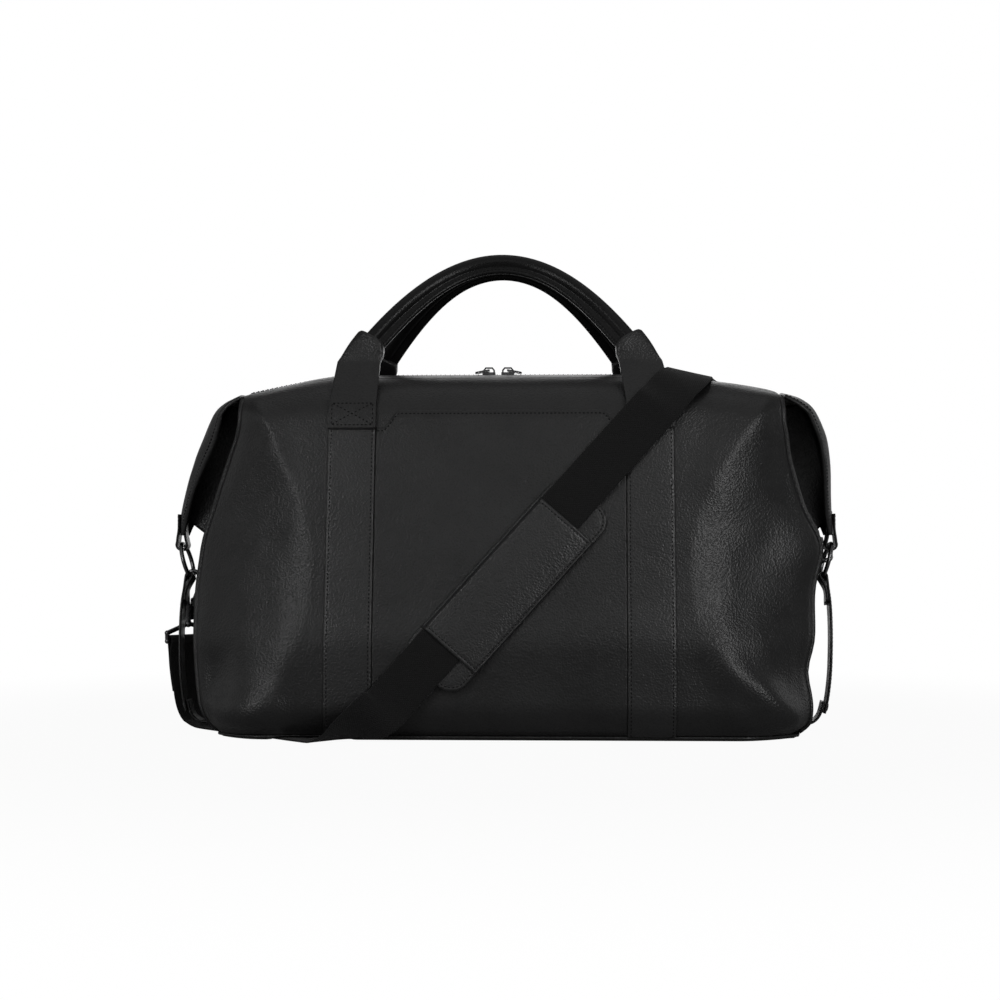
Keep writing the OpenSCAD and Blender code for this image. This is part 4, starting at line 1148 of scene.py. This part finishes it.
def base():
    line = base_outline(360) * BASE_SHARE
    rings = [np.column_stack([line * share, np.full(len(line), BASE_T)]) for share in (BASE_MIDDLE, 1)]
    for share in np.concatenate([[1.0, 0.997, 0.99], np.linspace(0.98, BASE_MIDDLE, 50)]):
        foot = BASE_FOOT + (GROOVE_DEPTH - BASE_FOOT) * in_groove(line * share)
        rings.append(np.column_stack([line * share, foot + BASE_EDGE_RISE * (share > 0.995)]))
    piece = make("base_panel_leather", np.vstack(rings), tube(len(rings), len(line)), LEATHER)
    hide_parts("base_panel")

    line = np.vstack([line, line[:1]])
    run = tangents(np.column_stack([line, 0 * line[:, 0]]))
    outs = np.stack([run[:, 1], -run[:, 0], 0 * run[:, 0]], 1)
    r = WELT_R - WELT_FLAT * in_groove(line)
    path = np.column_stack([line, BASE_T - r]) + outs * WELT_OUT
    turn = np.linspace(0, 2 * math.pi, 14, endpoint=False)
    sections = r[:, None, None] * np.stack([np.cos(turn), np.sin(turn)], 1)[None]
    piece = sweep("base_welt_leather", path, outs, same(Z_AXIS, len(path)), sections, LEATHER)
    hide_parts("base_welt")


base()


# Zip: woven tapes, a row of teeth on a cord, and the lining under them

TAPE_IN, TAPE_OUT, TAPE_T, TAPE_TOP, TAPE_END = 1.9, 12.4, 1.5, 296.7, 221
TOOTH_PITCH, TOOTH_L, TOOTH_FOOT, TOOTH_TOP, TOOTH_TRIM = 2.0, 1.2, 298.3, 299.5, 0.3
TOOTH_NEAR, TOOTH_FAR, TOOTH_SHOULDER = 0.9, 2.9, 0.5
TEETH_END, CORD_HALF, CORD_FOOT = 216, 1.5, 295.3


def along_zip(end, count, y, z):
    """A line along the zip, and the ways that it lies wide and faces out."""
    x = np.linspace(-end, end, count)
    path = np.stack([x, 0 * x + y, z - drop(x, BODY_H)], 1)
    return path, *ribbon_frames(path, same(Z_AXIS, count))


def zip_tape(word, side):
    line = along_zip(TAPE_END, 120, side * (TAPE_IN + TAPE_OUT) / 2, TAPE_TOP - TAPE_T / 2)
    section = strip_section(TAPE_OUT - TAPE_IN, TAPE_T)
    piece = sweep(word + "_zip_tape_cloth", *line, section, ZIP_CLOTH, uv=True)
    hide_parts(word + "_zip_tape")


def zip_teeth():
    verts, faces = [], []
    for i, x in enumerate(np.arange(-TEETH_END, TEETH_END, TOOTH_PITCH)):
        low = drop(x, BODY_H)
        y0, y1 = (-TOOTH_FAR, TOOTH_NEAR) if i % 2 else (-TOOTH_NEAR, TOOTH_FAR)
        faces += [tuple(len(verts) + v for v in f) for f in tube(3, 4)]
        for z, trim in ((TOOTH_FOOT, 0.0), (TOOTH_TOP - TOOTH_SHOULDER, 0.0), (TOOTH_TOP, TOOTH_TRIM)):
            for a, b in ((-1, y0 + trim), (1, y0 + trim), (1, y1 - trim), (-1, y1 - trim)):
                verts.append((x + a * (TOOTH_L / 2 - trim / 2), b, z - low))
    teeth = make("zip_teeth", verts, faces, COIL, shade=False)
    middle = (CORD_FOOT + TOOTH_FOOT) / 2
    section = boxy(CORD_HALF, middle - CORD_FOOT, 0.3, 16)
    cord = sweep("zip_cord", *along_zip(TEETH_END, 90, 0, middle), section, ZIP_CLOTH, uv=True)
    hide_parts("zip_chain")


# Half length, half depth, corner and height of the lining's foot and of its head
LINING_FOOT, LINING_HEAD = np.array([222.0, 105, 30, 18]), np.array([168.0, 76, 22, 235])
LINING_T, LINING_SAG = 1, 0.012


def lining():
    grids = []
    for inset in (0, LINING_T):
        rows = []
        for f in np.linspace(0, 1, 30):
            *shape, z = LINING_FOOT + (LINING_HEAD - LINING_FOOT) * f
            line = round_outline(*(v - inset for v in shape), 14)
            line = np.vstack([line, line[:1]])
            sag = np.array([1 - LINING_SAG * (1 + wobble((x, y, z), 60, 5.2)) for x, y in line])
            rows.append(np.column_stack([line * sag[:, None], np.full(len(line), z)]))
        grids.append(np.array(rows))
    piece = thick("lining_cloth", *grids, LINING)
    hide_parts("lining")


for side, word in SIDES:
    zip_tape(word, -side)
zip_teeth()
lining()


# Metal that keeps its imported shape

METAL = [f"{end}_{kind}" for kind in ("ring", "hook", "gate", "eye", "slider", "pull") for _, end in HANDS]
for node in METAL + ["side_rivets", "base_board"]:
    materials = NODES[node].data.materials
    materials.clear()
    materials.append(BOARD if node == "base_board" else GUNMETAL)
